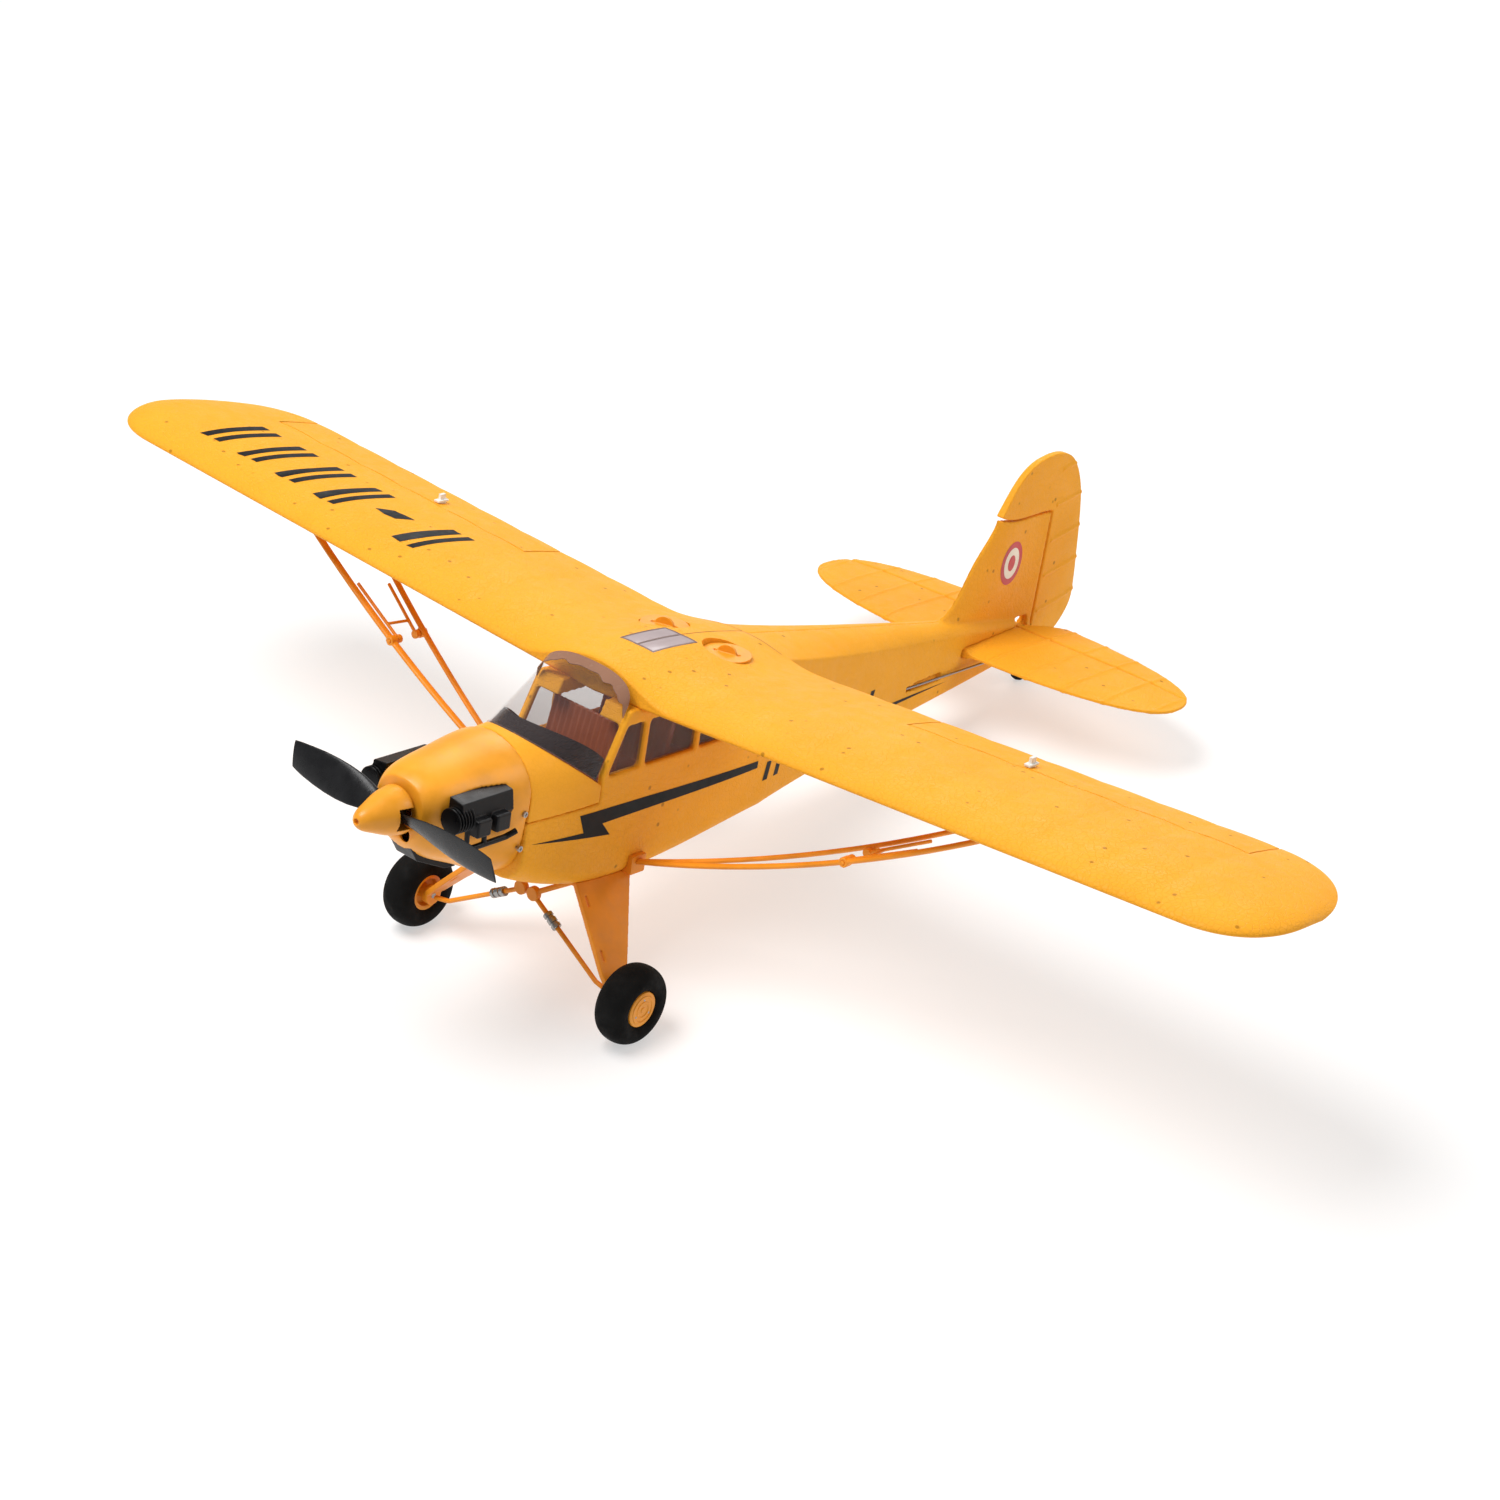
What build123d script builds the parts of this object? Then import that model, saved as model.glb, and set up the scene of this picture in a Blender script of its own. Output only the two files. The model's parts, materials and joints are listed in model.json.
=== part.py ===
from build123d import *
import os
from math import asin, atan, cos, degrees, exp, hypot, pi, radians, sin, sqrt

# A high-wing foam park flyer of 650 mm span that stands on its two main wheels and its tail wheel.
# Each sub-part is drawn in the aircraft's own datum: X to the left wing, Y to the tail, Z up, with
# Y = 0 at the wing's trailing edge.  main() then stands the whole aircraft on its three wheels.

# ---- driving dimensions, millimetres ----
SPAN = 650.0
CHORD = 99.0
WING_THICKNESS = 0.10      # of the chord
WING_CAMBER = 0.03         # of the chord, at 40 % of it
LE_Z = -3.0                # leading edge height at the centre line
TE_Z = -4.7                # trailing edge height at the centre line
DIHEDRAL = 0.06            # rise per unit of span
HUMP_HEIGHT = 7.5          # the wing's centre section stands proud over the cabin
HUMP_HALF = 45.0

AILERON_INNER = 111.2
AILERON_OUTER = 278.2
AILERON_CHORD = 26.5
AILERON_GAP = 0.9
BEVEL_DEG = 28.0           # front face of every control surface

CABIN_HALF = 27.0          # half width of the cabin
SILL_Z = -31.2             # lower edge of the windows
WALL = 3.5                 # foam wall
COWL_Y = -158.0            # cowl seam
THRUST_Z = -31.3           # propeller axis height

FIN_HINGE_Y = 236.5
TAIL_Z = -40.5             # tailplane mid height
TAIL_HALF = 113.0
TAIL_THICK = 4.6
ELEVATOR_HINGE_Y = 224.0

WHEEL_X = 63.5
WHEEL_Y = -122.0
WHEEL_Z = -118.3
WHEEL_R = 17.8
WHEEL_HALF = 7.7           # half of the tyre's width
HUB_R = 7.6
TAIL_WHEEL_Y = 240.0
TAIL_WHEEL_Z = -65.0
TAIL_WHEEL_R = 7.0

PROP_R = 57.5
PROP_Y = -213.0
SPINNER_TIP_Y = -232.6
SPINNER_BACK_Y = -210.6
SPINNER_R = 10.3
PROP_REST_DEG = 2.5        # blade angle from level at rest

HORN_ARM = 8.0             # horn hole to hinge axis, and the same on every servo arm
ROD_R = 0.6
PIN_CLEARANCE = 0.05

STRUT_ROOT = (26.0, -88.0, -76.5)
FRONT_STRUT_TIP = (197.0, -82.0, 4.6)
REAR_STRUT_TIP = (191.0, -53.0, 4.9)
STRUT_SAG = 7.0

HALF_SPAN = SPAN / 2
TIP_LE_START = 290.0       # where the tip's leading corner begins
TIP_TE_START = 270.0
TIP_Y = -60.0              # the widest point of the tip
TIP_POWER = 2.3


# ---- small helpers ----
def yz_prism(points, x_low, x_high):
    """A solid with the side outline points (y, z), from x_low to x_high."""
    outline = Polyline(*[(x_low, y, z) for y, z in points], close=True)
    return extrude(make_face(outline), amount=x_high - x_low, dir=(1, 0, 0))


def box(x, y, z):
    """A box between the limits x, y and z, each (low, high)."""
    return Pos(x[0], y[0], z[0]) * Box(x[1] - x[0], y[1] - y[0], z[1] - z[0], align=(Align.MIN,) * 3)


def rod(start, end, radius):
    """A straight round rod from start to end."""
    direction = Vector(*end) - Vector(*start)
    section = Plane(origin=start, z_dir=direction) * Circle(radius)
    return extrude(section, amount=direction.length, dir=direction)


def bent_rod(points, radius, bend):
    """A round wire along points, with its corners bent to the radius bend."""
    path = FilletPolyline(*points, radius=bend)
    return sweep(Plane(origin=path @ 0, z_dir=path % 0) * Circle(radius), path=path)


def mirrored(shape):
    return mirror(shape, about=Plane.YZ)


def group(solids):
    return Compound(children=list(solids))


def superellipse_x(distance, reach, power):
    """What is left of reach when distance (0 to 1) of the other half axis is used up."""
    return reach * (1 - min(1.0, max(0.0, distance)) ** power) ** (1 / power)


# ---- wing ----
def wing_edges(x):
    """Leading and trailing edge Y at the span station x, with the rounded tip."""
    lead = -CHORD
    trail = 0.0
    if x > TIP_LE_START:
        used = (x - TIP_LE_START) / (HALF_SPAN - TIP_LE_START)
        lead = TIP_Y - superellipse_x(used, CHORD + TIP_Y, TIP_POWER)
    if x > TIP_TE_START:
        used = (x - TIP_TE_START) / (HALF_SPAN - TIP_TE_START)
        trail = TIP_Y + superellipse_x(used, -TIP_Y, TIP_POWER)
    return lead, trail


def camber_line(s):
    if s < 0.4:
        return WING_CAMBER / 0.16 * (0.8 * s - s * s)
    return WING_CAMBER / 0.36 * (0.2 + 0.8 * s - s * s)


def half_thickness(s):
    return 5 * WING_THICKNESS * (0.2969 * sqrt(s) - 0.126 * s - 0.3516 * s**2 + 0.2843 * s**3 - 0.098 * s**4)


def hump(x, s):
    """Rise of the upper skin over the cabin, blunter at the leading edge."""
    if abs(x) >= HUMP_HALF:
        return 0.0
    return HUMP_HEIGHT * (1 + cos(pi * x / HUMP_HALF)) / 2 * (1 + 0.7 * exp(-s / 0.10))


def skin_z(x, s, upper):
    """Height of the wing's skin at span x and chord fraction s."""
    lead, trail = wing_edges(x)
    side = 1 if upper else -1
    middle = LE_Z + (TE_Z - LE_Z) * s + DIHEDRAL * x
    local = (trail - lead) * (camber_line(s) + side * half_thickness(s))
    return middle + local + (hump(x, s) if upper else 0.0)


WING_FRACTIONS = (0.0125, 0.05, 0.12, 0.25, 0.42, 0.62, 0.82, 1.0)


def wing_section(x):
    lead, trail = wing_edges(x)
    chord = trail - lead
    top = [(x, lead + s * chord, skin_z(x, s, True)) for s in reversed(WING_FRACTIONS)]
    nose = [(x, lead, LE_Z + DIHEDRAL * x + hump(x, 0) * 0.35)]
    bottom = [(x, lead + s * chord, skin_z(x, s, False)) for s in WING_FRACTIONS]
    skin = Spline(*(top + nose + bottom))
    edge = Line(bottom[-1], top[0])
    return make_face([skin, edge])


def wing_blank():
    """The left half wing before anything is cut from it."""
    root = [wing_section(x) for x in (0.0, 11.0, 22.0, 33.0, HUMP_HALF)]
    tip = [wing_section(x) for x in (270.0, 285.0, 297.0, 308.0, 316.0, 321.5, 324.2)]
    return loft(root) + loft([wing_section(HUMP_HALF), wing_section(270.0)], ruled=True) + loft(tip)


def hinge_z(x):
    """Height of the aileron's hinge axis, just under the upper skin."""
    return skin_z(x, 1 - AILERON_CHORD / CHORD, True) - 1.1


def bevel_prism(hinge_y, axis_z, gap, x_low, x_high, depth=12.0):
    """Everything behind a hinge: a wedge that opens at BEVEL_DEG above and below its axis."""
    back = depth * sin(radians(BEVEL_DEG)) / cos(radians(BEVEL_DEG))
    points = [(hinge_y + gap, axis_z), (hinge_y + gap + back, axis_z + depth), (hinge_y + 80, axis_z + depth),
              (hinge_y + 80, axis_z - depth), (hinge_y + gap + back, axis_z - depth)]
    return yz_prism(points, x_low, x_high)


def aileron_zone(grow, gap):
    """The space behind the aileron's hinge line, sheared along the dihedral."""
    low = AILERON_INNER + grow
    high = AILERON_OUTER - grow
    hinge_y = -AILERON_CHORD
    faces = []
    back = 12.0 * sin(radians(BEVEL_DEG)) / cos(radians(BEVEL_DEG))
    for x in (low, high):
        z = hinge_z(x)
        points = [(x, hinge_y + gap, z), (x, hinge_y + gap + back, z + 12), (x, 30, z + 12),
                  (x, 30, z - 12), (x, hinge_y + gap + back, z - 12)]
        faces.append(make_face(Polyline(*points, close=True)))
    return loft(faces, ruled=True)


def aileron_cut():
    """What the wing loses for the aileron: a square-ended slot with a flat front."""
    faces = []
    for x in (AILERON_INNER, AILERON_OUTER):
        z = hinge_z(x)
        points = [(x, -AILERON_CHORD, z + 12), (x, 30, z + 12), (x, 30, z - 12), (x, -AILERON_CHORD, z - 12)]
        faces.append(make_face(Polyline(*points, close=True)))
    return loft(faces, ruled=True)


SERVO_X = 171.0
SERVO_SHAFT_Y = -58.0
SERVO_BODY = ((SERVO_X + 2.0, SERVO_X + 14.0), (-74.0, -54.0))


def wing_servo_space():
    """Pocket for the aileron servo, open below, with the slot that its arm swings in."""
    z = hinge_z(SERVO_X)
    pocket = box(SERVO_BODY[0], SERVO_BODY[1], (z - 14, z + 3.4))
    slot = box((SERVO_X - 2.6, SERVO_X + 2.0), (SERVO_SHAFT_Y - 7.0, SERVO_SHAFT_Y + 7.0), (z - 14, z + 2.6))
    return pocket + slot


SPAR_Y = -78.0
SPAR_R = 2.0
SPAR_HALF = 240.0
KNOB_X = 18.2
KNOB_Y = -34.0
KNOB_R = 11.2
KNOB_BED_Z = 5.6
KNOB_ANGLE = 20.0               # of the tab, from the span towards the tail
SKYLIGHT = ((-9.6, 9.6), (-74.2, -44.3))
NOTCH_HALF = 12.5
NOTCH_Y = -99.3


def wing_spar():
    """A carbon tube bent at the centre line to the wing's dihedral."""
    halves = []
    for side in (1, -1):
        start = (0, SPAR_Y, spar_z(0))
        end = (side * SPAR_HALF, SPAR_Y, spar_z(SPAR_HALF))
        halves.append(rod(start, end, SPAR_R))
    return halves[0] + halves[1] + Pos(0, SPAR_Y, spar_z(0)) * Sphere(SPAR_R)


def spar_z(x):
    return -1.6 + DIHEDRAL * x


def knob_bed(gap=0.0):
    """The round recess that a wing lock turns in, with the hole for its stem."""
    recess = Pos(KNOB_X, KNOB_Y, KNOB_BED_Z - gap) * Cylinder(
        KNOB_R + gap, 12, align=(Align.CENTER, Align.CENTER, Align.MIN))
    stem = Pos(KNOB_X, KNOB_Y, -12) * Cylinder(2.2 + gap, 22, align=(Align.CENTER, Align.CENTER, Align.MIN))
    return recess + stem


def skylight_blank():
    x, y = SKYLIGHT
    return box(x, y, (6.0, 16.0))


def skylight_shaft():
    """The hole through the wing under the skylight's pane."""
    x, y = SKYLIGHT
    return box((x[0] + 1, x[1] - 1), (y[0] + 1, y[1] - 1), (-20.0, 6.5))


def wing_left():
    wing = wing_blank() - aileron_cut() - wing_servo_space() - knob_bed(0.3) - wing_spar()
    wing -= skylight_blank() + skylight_shaft()
    wing -= box((-1, NOTCH_HALF), (-115, NOTCH_Y + 3.0), (-20, 30))
    return wing - box((-30, 0), (-150, 30), (-30, 40))


def skylight():
    """Clear pane let flush into the centre section, with a raised bar across it."""
    pane = skylight_blank() & (wing_blank() + mirrored(wing_blank()))
    pane -= box((-9.0, 9.0), (-73.6, -44.9), (5, 7.2))
    return pane


def aileron_left():
    ahead = box((0, 400), (-200, -AILERON_CHORD + 0.5), (-50, 50))
    return (wing_blank() & aileron_zone(AILERON_GAP, 0.5)) - ahead


def aileron_horn_left():
    """Horn under the aileron: a clamp plate on top, a post through the foam and a blade below."""
    z = hinge_z(SERVO_X)
    y = -AILERON_CHORD
    plate = box((SERVO_X - 1.6, SERVO_X + 1.6), (y + 2.2, y + 9.0), (z + 0.9, z + 1.9))
    nib = box((SERVO_X - 0.8, SERVO_X + 0.8), (y + 4.2, y + 7.4), (z + 1.9, z + 4.6))
    outline = [(y - 2.0, z - HORN_ARM - 2.0), (y + 2.0, z - HORN_ARM - 2.0), (y + 8.4, z - 3.0), (y + 8.4, z + 1.2),
               (y + 3.4, z + 1.2), (y + 3.4, z - 4.4), (y - 1.2, z - HORN_ARM + 1.4)]
    blade = yz_prism(outline, SERVO_X - 0.6, SERVO_X + 0.6)
    hole = rod((SERVO_X - 3, y, z - HORN_ARM), (SERVO_X + 3, y, z - HORN_ARM), ROD_R + PIN_CLEARANCE)
    return plate + nib + blade - hole


def wing_servo_left():
    """Micro servo lying on its side in the wing, output shaft towards the root."""
    z = hinge_z(SERVO_X)
    x, y = SERVO_BODY
    case = box((x[0] + 0.2, x[1] - 0.2), (y[0] + 0.2, y[1] - 0.2), (z - 4.0, z + 3.2))
    boss = rod((x[0] - 0.6, SERVO_SHAFT_Y, z), (x[0] + 0.3, SERVO_SHAFT_Y, z), 2.4)
    bore = rod((x[0] - 1.0, SERVO_SHAFT_Y, z), (x[0] + 3.0, SERVO_SHAFT_Y, z), 1.2 + PIN_CLEARANCE)
    return case + boss - bore


def servo_arm(shaft, tip, along, half=0.6, peg=3.6):
    """A servo arm from its shaft to the rod's hole, both on axes along the vector along."""
    shaft = Vector(*shaft)
    tip = Vector(*tip)
    along = Vector(*along)
    reach = tip - shaft
    plane = Plane(origin=shaft - along * half, x_dir=reach, z_dir=along)
    outline = make_hull((Circle(2.2).edges() + (Pos(reach.length, 0) * Circle(1.5)).edges()))
    arm = extrude(plane * outline, amount=2 * half)
    arm += rod(tuple(shaft), tuple(shaft + along * peg), 1.2)
    return arm - rod(tuple(tip - along * 3), tuple(tip + along * 3), ROD_R + PIN_CLEARANCE)


def push_rod(start, end, along, offset, half=1.1):
    """Pushrod beside its two pins; the pins point along the vector along."""
    start, end, along = Vector(*start), Vector(*end), Vector(*along)
    shift = along * offset
    wire = rod(tuple(start + shift), tuple(end + shift), ROD_R)
    for pin in (start, end):
        wire += rod(tuple(pin - along * half), tuple(pin + shift), ROD_R)
        wire += Pos(*(pin + shift)) * Sphere(ROD_R)
    return wire


def aileron_linkage_left():
    """Servo arm and pushrod under the wing; the rod stays parallel to the line of the two axes."""
    z = hinge_z(SERVO_X)
    shaft = (SERVO_X, SERVO_SHAFT_Y, z)
    pin = (SERVO_X, SERVO_SHAFT_Y, z - HORN_ARM)
    horn_pin = (SERVO_X, -AILERON_CHORD, z - HORN_ARM)
    arm = servo_arm(shaft, pin, (1, 0, 0))
    wire = push_rod(pin, horn_pin, (-1, 0, 0), 1.7)
    return arm, wire


def lock_knob():
    """Left quarter-turn lock: a disc, a half-moon tab to turn it by, and a stem with a cross foot."""
    upward = (Align.CENTER, Align.CENTER, Align.MIN)
    disc = Pos(0, 0, KNOB_BED_Z) * Cylinder(KNOB_R - 0.1, 1.1, align=upward)
    groove = Pos(0, 0, KNOB_BED_Z + 0.7) * Rot(Z=KNOB_ANGLE) * Box(12.5, 2.0, 1.0)
    half_moon = Circle(4.6) & Pos(0, 3) * Rectangle(12, 6)
    tab_face = Plane(origin=(0, 0.9, 0), x_dir=(1, 0, 0), z_dir=(0, -1, 0)) * half_moon
    tab = Pos(0, 0, KNOB_BED_Z + 0.15) * Rot(Z=KNOB_ANGLE) * extrude(tab_face, amount=1.8)
    stem = Pos(0, 0, CEILING_Z - 2.2) * Cylinder(2.0, 17.4, align=upward)
    foot = Pos(0, 0, CEILING_Z - 1.3) * Box(2.4, 8.0, 1.8)
    return Pos(KNOB_X, KNOB_Y, 0) * (disc - groove + tab + stem + foot)


# ---- fuselage ----
def body_section(y, half, shoulder, top, bottom, corner):
    """Front view of the fuselage: flat sides, round lower corners and an arched top."""
    k = corner * (1 - sqrt(0.5))
    lower = Line((-(half - corner), y, bottom), (half - corner, y, bottom))
    right = ThreePointArc((half - corner, y, bottom), (half - k, y, bottom + k), (half, y, bottom + corner))
    side = Line((half, y, bottom + corner), (half, y, shoulder))
    arch = ThreePointArc((half, y, shoulder), (0, y, top), (-half, y, shoulder))
    other = Line((-half, y, shoulder), (-half, y, bottom + corner))
    left = ThreePointArc((-half, y, bottom + corner), (-half + k, y, bottom + k), (-half + corner, y, bottom))
    return make_face([lower, right, side, arch, other, left])


# y, half width, shoulder, top, bottom, corner radius
HOOD_STATIONS = ((COWL_Y, 24.5, -31.0, -9.3, -70.5, 13.0), (-139.0, 26.2, -31.0, -8.6, -77.0, 11.0),
                 (-119.7, CABIN_HALF, -31.0, -8.0, -81.0, 9.0))
CABIN_STATIONS = ((-119.7, CABIN_HALF, -2.5, -2.2, -81.0, 9.0), (-86.0, CABIN_HALF, -2.5, -2.2, -82.5, 8.0),
                  (-40.0, CABIN_HALF, -2.5, -2.2, -78.6, 8.0), (0.4, 25.5, -2.5, -2.2, -75.0, 8.0))
CEILING_Z = -9.2
TAIL_STATIONS = ((0.4, 25.5, -1.5, 2.3, -75.0, 8.0), (34.0, 21.3, -9.5, -3.4, -71.8, 7.0),
                 (70.0, 16.8, -16.5, -9.3, -68.8, 6.0), (108.0, 12.5, -22.5, -15.5, -65.4, 5.0),
                 (156.0, 8.5, -29.0, -23.4, -61.3, 3.6), (200.0, 5.4, -35.0, -30.7, -57.3, 2.4),
                 (235.9, 3.2, -40.0, -36.6, -54.2, 1.4))


def shrunk(station, wall):
    y, half, shoulder, top, bottom, corner = station
    return y, half - wall, shoulder - wall * 0.4, top - wall, bottom + wall, max(1.0, corner - wall * 0.6)


def body_loft(stations, wall=0.0):
    return loft([body_section(*shrunk(station, wall)) for station in stations])


def fuselage_blank():
    return body_loft(HOOD_STATIONS) + body_loft(CABIN_STATIONS) + body_loft(TAIL_STATIONS) + fin_blank()


def fuselage_hollow():
    """Room inside for the battery, the receiver, the servos and the cabin."""
    nose = body_loft(HOOD_STATIONS, WALL) - box((-40, 40), (-170, COWL_Y + 5.0), (-90, 0))
    cabin = body_loft(CABIN_STATIONS, WALL) & box((-40, 40), (-130, 10), (-90, CEILING_Z))
    tail = body_loft(TAIL_STATIONS[:4], WALL)
    skylight_well = box((-12, 12), (-112, -42), (-20, 0))
    return nose + cabin + tail + skylight_well


def lock_holes():
    """Holes in the cabin roof that the wing locks' stems and cross feet pass through."""
    hole = Pos(KNOB_X, KNOB_Y, 0) * Cylinder(2.4, 40) + Pos(KNOB_X, KNOB_Y, 0) * Box(9.2, 3.2, 40)
    hole &= box((0, 40), (-60, 0), (CEILING_Z - 2, 2))
    return hole + mirrored(hole)


WINDSHIELD_FOOT = (-152.5, -9.0)      # y, z where the screen meets the hood on the centre line
WINDSHIELD_SLOPE = -0.68              # of the plane that the screen's foot lies in
HATCH_SEAM_Z = -41.5
HATCH_REAR_Y = -116.4
HATCH_CORNER_Y = -108.6        # rear end of the panel line below the sill
PILLAR = ((-117.3, SILL_Z), (-96.5, 15.0))     # y, z of the front pillar's line, carried on upwards
WINDOWS = (((-113.4, -30.3), (-93.0, -30.3), (-93.0, -9.2), (-104.3, -9.2)),
           ((-90.0, -30.3), (-57.5, -30.3), (-57.5, -9.2), (-90.0, -9.2)),
           ((-54.5, -30.3), (-36.0, -30.3), (-17.0, -17.0), (-17.0, -9.2), (-54.5, -9.2)))


def above_screen_foot(drop=0.0):
    """Everything above the sloping plane that the windshield's foot lies in."""
    y, z = WINDSHIELD_FOOT
    points = [(y, z - drop), (y + 45, z - drop + 45 * WINDSHIELD_SLOPE), (y + 45, 40), (y, 40)]
    return yz_prism(points, -40, 40)


def hatch_zone(gap=0.0):
    """Side outline of the lift-off hood between the cowl seam and the windshield."""
    return box((-40, 40), (COWL_Y - 5, HATCH_REAR_Y - gap), (HATCH_SEAM_Z + gap, 40))


def hatch_groove():
    """Panel line that carries the hood's side seam on and up to the sill's corner."""
    seam = [(HATCH_REAR_Y, HATCH_SEAM_Z - 0.3), (HATCH_CORNER_Y, HATCH_SEAM_Z - 0.3), (HATCH_REAR_Y, SILL_Z),
            (HATCH_REAR_Y, SILL_Z - 0.8), (HATCH_CORNER_Y - 0.8, HATCH_SEAM_Z + 0.3),
             (HATCH_REAR_Y, HATCH_SEAM_Z + 0.3)]
    deep = CABIN_HALF - 0.6
    return yz_prism(seam, deep, 40) + yz_prism(seam, -40, -deep)


def cabin_front_cut():
    """The space that the windshield stands in, ahead of the sloping front pillar."""
    (foot_y, foot_z), (head_y, head_z) = PILLAR
    return yz_prism([(-160, foot_z), (foot_y, foot_z), (head_y, head_z), (-160, head_z)], -40, 40)


def fin_section(z, lead, half):
    """Level section through the fin from its round leading edge to the flat hinge face."""
    trail = FIN_HINGE_Y - 0.6
    chord = trail - lead
    outline = Spline((half, trail, z), (half * 0.95, lead + chord * 0.45, z), (half * 0.6, lead + chord * 0.1, z),
                     (0, lead, z), (-half * 0.6, lead + chord * 0.1, z), (-half * 0.95, lead + chord * 0.45, z),
                     (-half, trail, z))
    return make_face([outline, Line((-half, trail, z), (half, trail, z))])


def fin_blank():
    stations = ((-46.0, 118.0, 2.6), (-24.0, 148.0, 2.9), (-21.0, 159.0, 2.9), (-14.0, 166.8, 2.9), (-7.0, 171.0, 2.8),
                (8.5, 181.0, 2.6), (26.0, 189.5, 2.3))
    fin = loft([fin_section(*station) for station in stations[1:]])
    fin += loft([fin_section(*station) for station in stations[:2]], ruled=True)
    crown = Spline((30, 185, 24.4), (30, 191.0, 23.4), (30, 200.0, 21.4), (30, 212, 20.5), (30, 240, 20.6))
    cap = make_face([crown, Line((30, 240, 20.6), (30, 240, 60)), Line((30, 240, 60), (30, 185, 60)),
                     Line((30, 185, 60), (30, 185, 24.4))])
    return fin - extrude(cap, amount=-60, dir=(1, 0, 0))


def tail_slots():
    """Slots for the tailplane, for the elevator's joining strip and for the pushrods."""
    plane = box((-20, 20), (170.5, ELEVATOR_HINGE_Y + 0.2),
                (TAIL_Z - TAIL_THICK / 2, TAIL_Z + TAIL_THICK / 2))
    strip = box((-20, 20), (ELEVATOR_HINGE_Y - 1.5, 232.4), (TAIL_Z - 6.6, TAIL_Z + 6.6))
    left = box((ELEVATOR_ROD_X - 3.4, ELEVATOR_ROD_X + 1.2), (82, 153), (ROD_Z - 1.6, ROD_Z + 2.2))
    right = box((-RUDDER_ROD_X - 1.2, -RUDDER_ROD_X + 3.4), (76, 150),
                (RUDDER_ROD_Z - 3.2, RUDDER_ROD_Z + 0.4))
    groove = box((-RUDDER_ROD_X - 9.0, -RUDDER_ROD_X + 2.0), (140, 222),
                 (RUDDER_ROD_Z - 3.2, RUDDER_ROD_Z + 0.4))
    return plane + strip + left + right + groove


def fuselage():
    body = fuselage_blank() - fuselage_hollow() - hatch_zone() - cabin_front_cut() - hatch_groove()
    for window in WINDOWS:
        body -= yz_prism(window, -40, 40)
    return body - tail_slots() - bulkhead_hole() - lock_holes() - wing_blank() - mirrored(wing_blank())


def bulkhead_hole():
    """Opening in the front bulkhead behind the motor."""
    return Pos(0, COWL_Y, -45) * Rot(X=90) * Cylinder(11, 14)


def fuselage_half(body, side):
    """The left (side 1) or right (side -1) foam half."""
    return body & box(sorted((0, side * 60)), (-250, 300), (-120, 80))


def side_glazing():
    """Six clear panes, three a side, let into the cabin walls."""
    panes = []
    for window in WINDOWS:
        for low in (CABIN_HALF - 2.6, -(CABIN_HALF - 1.6)):
            panes.append(yz_prism(window, low, low + 1.0) & body_loft(CABIN_STATIONS))
    return group(panes)


def hood_hatch():
    """Lift-off hood that carries the windshield and the dashboard."""
    blank = body_loft(HOOD_STATIONS) + body_loft(CABIN_STATIONS)
    hollow = body_loft(HOOD_STATIONS, WALL) + body_loft(CABIN_STATIONS, WALL)
    hood = (blank & hatch_zone(0.3)) - hollow - above_screen_foot()
    return hood - box((-60, 60), (-200, COWL_Y + 0.3), (-90, 40))


def dashboard():
    """Dark cover that closes the hood under the windshield."""
    foot_y, foot_z = WINDSHIELD_FOOT
    blank = body_loft(HOOD_STATIONS, WALL + 0.1) + body_loft(CABIN_STATIONS, WALL + 0.1)
    points = [(foot_y + 5, foot_z - 4.6), (foot_y + 35.2, foot_z - 25.0), (foot_y + 35.2, foot_z - 27.6),
              (foot_y + 5, foot_z - 7.2)]
    return blank & yz_prism(points, -40, 40)


SCREEN_HIPS = ((26.6, -119.4, -31.1), (24.8, -104.6, -0.6))     # half width, y, z at foot and head
SCREEN_CROWNS = ((-152.5, -9.0), (-101.4, 10.4))                # y, z on the centre line


def screen_section(t, trim, tail):
    """D-shaped section of the windshield's space, t from its foot (0) to its head (1)."""
    (w0, y0, z0), (w1, y1, z1) = SCREEN_HIPS
    (cy0, cz0), (cy1, cz1) = SCREEN_CROWNS
    half = w0 + (w1 - w0) * t - trim
    hip = Vector(0, y0 + (y1 - y0) * t, z0 + (z1 - z0) * t)
    crown = Vector(0, cy0 + (cy1 - cy0) * t, cz0 + (cz1 - cz0) * t)
    rise = (crown - hip).length - trim
    plane = Plane(origin=hip, x_dir=(1, 0, 0), z_dir=Vector(1, 0, 0).cross(crown - hip))
    power = 2.25 + 0.35 * t
    outline = []
    for step in range(-5, 6):
        angle = pi / 2 * step / 5
        across = half * (abs(sin(angle)) ** (2 / power)) * (1 if step > 0 else -1)
        outline.append((across, rise * cos(angle) ** (2 / power) if abs(step) < 5 else 0.0))
    curve = Spline(*outline)
    foot = Polyline((half, 0), (half, -tail), (-half, -tail), (-half, 0))
    return plane * make_face([curve] + foot.edges())


def windshield():
    """Thin clear shell from the hood up to the wing's nose."""
    outer = loft([screen_section(t, 0.4, 0.4) for t in (0.0, 0.5, 1.0)])
    inner = loft([screen_section(t, 1.2, 3.0) for t in (-0.03, 0.5, 1.03)])
    return outer - inner


FLOOR_TOP_Z = -48.8


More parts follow.
